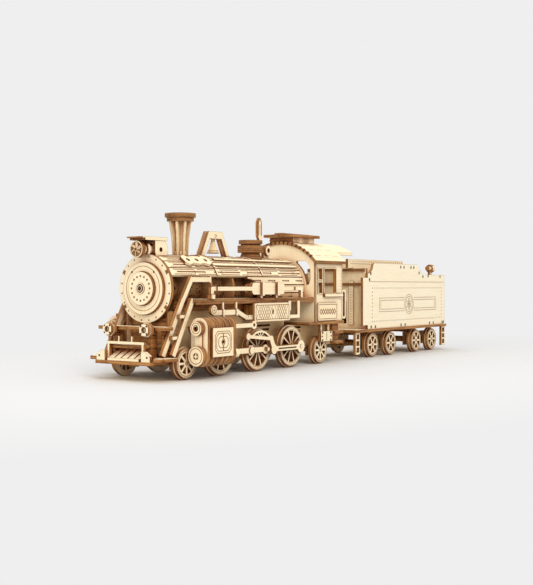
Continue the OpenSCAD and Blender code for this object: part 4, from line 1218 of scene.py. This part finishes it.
@dataclass
class TenderBody:
    """Panel lines, rivets, tab ends and coal-board dots of the tender.

    Attributes:
        side_y: How far out the side sheets' faces are.
        panel_x: Where the riveted panel starts.
        wall_x: Where the face of the front wall is.
        back_x: Where the face of the rear wall is.
        deck_behind_boards: How much deck is left behind the coal boards.
        rivets: How many rivets a long row and a short row have.
        petals: How many petals the badge's rosette has.
        line_mm: The width of an engraved line.
        proud_mm: How far a mark stands out of its sheet.
    """

    side_y: float = 28.0
    panel_x: float = 52.8
    wall_x: float = 46.8
    back_x: float = 177.0
    deck_behind_boards: float = 48.0
    rivets: tuple[int, int] = (36, 8)
    petals: int = 6
    line_mm: float = 0.26
    proud_mm: float = 0.09

    def build(self) -> None:
        """Builds the tender's detail, all of it on the tender's body."""
        for side in SIDES:
            self._side(side)
            self._coal_boards(side)
        self._ends()

    def _side(self, side: int) -> None:
        """Lays the lines, rivets, tab ends and round badge of one side sheet."""
        low, high = corners_mm("tender_sides")
        floor = low.z
        y = side * self.side_y
        out = (0, side, 0)
        x0, x1 = self.panel_x, high.x - 6.5
        z0, z1 = floor + 4.2, floor + 30.6
        marks = scorched(on_side("tender_side_marks", side), "tender")
        tabs = notched(on_side("tender_tab_ends", side), "tender")
        top = floor + 35.4
        marks.strip((47.5, y, top), (high.x - 1.4, y, top), out, self.line_mm, self.proud_mm)
        for z in (z1, z0 + 1.4):
            marks.studs((x0, y, z), (x1, y, z), self.rivets[0], out, 0.95, 0.1)
        for x in (x0, x1):
            marks.studs((x, y, z0 + 4.4), (x, y, z1 - 3), self.rivets[1], out, 0.95, 0.1)
        self._cartouche(marks, side, (x0 + x1) / 2, (z0 + z1) / 2 + 0.4)
        for x, z in self._tab_ends(floor, high.x):
            tabs.strip((x, y, z - 1.0), (x, y, z + 1.0), out, 1.5, 0.12)
        marks.done()
        tabs.done()

    def _cartouche(self, marks: Piece, side: int, cx: float, cz: float) -> None:
        """Lays the double-lined band and its round badge with a plain rosette."""
        y = side * self.side_y
        out = (0, side, 0)
        for half, tall in ((49.0, 5.2), (46.8, 3.4)):
            for way in SIDES:
                corners = [
                    (cx + way * 8.0, y, cz - tall), (cx + way * half, y, cz - tall),
                    (cx + way * half, y, cz + tall), (cx + way * 8.0, y, cz + tall),
                ]
                for start, end in zip(corners, corners[1:]):
                    marks.strip(start, end, out, self.line_mm, self.proud_mm)
        centre = Vector((cx, y, cz))
        for radius in (7.8, 6.2):
            marks.hoop(centre, out, radius, 0.3, self.proud_mm, sides=56)
        for step in range(self.petals):
            turn = 360 / self.petals * step + 30
            tip = centre + self._flat_spoke(turn) * 4.9
            for lean in (-26, 26):
                knee = centre + self._flat_spoke(turn + lean) * 2.7
                marks.strip(centre, knee, out, 0.3, self.proud_mm)
                marks.strip(knee, tip, out, 0.3, self.proud_mm)
        marks.stud(centre, out, 1.6, 0.14)

    def _flat_spoke(self, degrees: float) -> Vector:
        """Returns the unit vector at an angle from +X towards +Z."""
        angle = math.radians(degrees)
        return Vector((math.cos(angle), 0, math.sin(angle)))

    def _tab_ends(self, floor: float, rear: float) -> list[tuple[float, float]]:
        """Returns where the tabs of the inner sheets come through a side, as x and z."""
        low_row = [(x, floor + 1.6) for x in (51, 57.5, 99, 106, 150, 157, rear - 5, rear - 2.4)]
        high_row = [(x, floor + 47) for x in (98.5, 104, 116, 121)]
        step_row = [(130.5, floor + 42.8), (137.5, floor + 39.9), (147, floor + 40.3), (170, floor + 40.2)]
        front = [(50.4, floor + 41.4), (48.4, floor + 37)]
        return low_row + high_row + step_row + front

    def _coal_boards(self, side: int) -> None:
        """Sets the dots along the top edge of a coal board."""
        low, high = corners_mm("coal_bunker")
        dots = scorched(on_side("coal_board_dots", side), "tender")
        level = high.z - 1.6
        x0, x1 = low.x + 3, high.x - self.deck_behind_boards
        for y, way in ((side * 14, side), (side * 12, -side)):
            dots.studs((x0, y, level), (x1, y, level), 24, (0, way, 0), 1.0, 0.1)
        dots.strip((x0, side * 14, level - 1.7), (x1, side * 14, level - 1.7), (0, side, 0), 0.22, 0.08)
        dots.done()

    def _ends(self) -> None:
        """Sets the riveted straps and rails on the front wall and the marks on the rear one."""
        foot = corners_mm("tender_ends")[0].z
        wall, back = self.wall_x, self.back_x
        straps = pale("tender_straps", "tender", "ply_facing_x")
        marks = scorched("tender_end_marks", "tender")
        for side in SIDES:
            for y, width in ((side * 13.5, 4.2), (side * 22.0, 3.0)):
                straps.strip((wall, y, foot + 3), (wall, y, foot + 36), FRONT, width, 0.7)
            x, y = wall - 0.86, side * 13.5
            marks.studs((x, y, foot + 5), (x, y, foot + 34), 15, FRONT, 0.7, 0.1)
        rails = browned("tender_front_rails", "tender")
        for z in (foot + 33.4, foot + 44.2):
            rails.strip((wall, -25, z), (wall, 25, z), FRONT, 2.2, 1.2)
        rails.done()
        for z in (foot + 12, foot + 28):
            for y in (-22, 8):
                marks.studs((back, y, z), (back, y + 14, z), 9, REAR, 0.72, 0.1)
        z0, z1 = foot + 14, foot + 26
        for side in SIDES:
            y0, y1 = side * 9, side * 23
            box = [(back, y0, z0), (back, y1, z0), (back, y1, z1), (back, y0, z1)]
            marks.outline(box, REAR, self.line_mm, self.proud_mm)
        straps.done()
        marks.done()


# ---------------------------------------------------------------- studio
@dataclass(frozen=True)
class Lamp:
    """One soft square lamp that points at the model.

    Attributes:
        name: The lamp's name.
        at: Where it hangs, in metres.
        side: The side of its square, in metres.
        watts: Its power.
        tint: Its colour.
    """

    name: str
    at: tuple[float, float, float]
    side: float
    watts: float
    tint: tuple[float, float, float] = (1.0, 0.98, 0.95)

    def hang(self) -> None:
        """Adds the lamp to the scene."""
        lamp = bpy.data.lights.new(self.name, "AREA")
        lamp.size = self.side
        lamp.energy = self.watts
        lamp.color = self.tint
        holder = bpy.data.objects.new(self.name, lamp)
        holder.location = self.at
        aim = Vector((0, 0, 0.04)) - Vector(self.at)
        holder.rotation_euler = aim.to_track_quat("-Z", "Y").to_euler()
        bpy.context.scene.collection.objects.link(holder)


@dataclass
class Studio:
    """The paper, the lamps, the even surroundings and the camera.

    Attributes:
        eye_mm: Where the camera stands.
        heading_deg: The way it looks, from +Y towards +X.
        dip_deg: How far it looks down.
        lens_mm: Its focal length on a sensor 36 mm wide.
        paper_m: The side of the square of paper.
        lamps: The key light, the fill and the top light.
    """

    eye_mm: tuple[float, float, float] = (-580.95, -380.81, 53.96)
    heading_deg: float = 54.623
    dip_deg: float = 0.402
    lens_mm: float = 59.27
    paper_m: float = 60.0
    lamps: tuple[Lamp, ...] = (
        Lamp("key_light", (-0.75, -1.0, 1.0), 0.7, 11.5, (1.0, 0.97, 0.92)),
        Lamp("fill_light", (-1.3, 0.25, 0.5), 0.9, 3.4),
        Lamp("top_light", (0.15, 0.25, 1.3), 0.9, 5.0),
    )

    def build(self) -> None:
        """Builds the studio."""
        self._paper()
        for lamp in self.lamps:
            lamp.hang()
        self._surroundings()
        self._camera()

    def _paper(self) -> None:
        """Lays the floor that the wheels stand on."""
        let_go()
        bpy.ops.mesh.primitive_plane_add(size=self.paper_m, location=(0, 0, 0))
        paper = bpy.context.object
        paper.name = "studio_floor"
        paper.data.materials.append(StudioPaper().material())

    def _surroundings(self) -> None:
        """Sets the even pale light around the model and plain colour handling."""
        scene = bpy.context.scene
        world = bpy.data.worlds.new("even_light")
        world.use_nodes = True
        backdrop = world.node_tree.nodes["Background"]
        backdrop.inputs["Color"].default_value = DAYLIGHT
        backdrop.inputs["Strength"].default_value = 1.0
        scene.world = world
        scene.view_settings.view_transform = "Standard"

    def _camera(self) -> None:
        """Sets up the camera, level with the boiler and a little ahead of the side."""
        heading, dip = math.radians(self.heading_deg), math.radians(self.dip_deg)
        look = Vector((math.sin(heading) * math.cos(dip), math.cos(heading) * math.cos(dip), -math.sin(dip)))
        camera = bpy.data.cameras.new("camera")
        camera.sensor_width = 36.0
        camera.lens = self.lens_mm
        camera.clip_start = 0.01
        camera.clip_end = 100.0
        holder = bpy.data.objects.new("camera", camera)
        holder.location = Vector(self.eye_mm) * MM
        holder.rotation_euler = look.to_track_quat("-Z", "Y").to_euler()
        bpy.context.scene.collection.objects.link(holder)
        bpy.context.scene.camera = holder


def main() -> None:
    """Builds every part of the scene in order."""
    logging.basicConfig(level=logging.INFO)
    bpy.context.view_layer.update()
    Studio().build()
    Piece.palette = Palette()
    Piece.stock = Stock()
    Sheets().dress(Piece.palette)
    for assembly in (Smokebox(), BoilerTop(), SideGear(), Wheels(), Cab(), TenderBody()):
        assembly.build()
    Piece.stock.put_away()


if __name__ == "__main__":
    main()
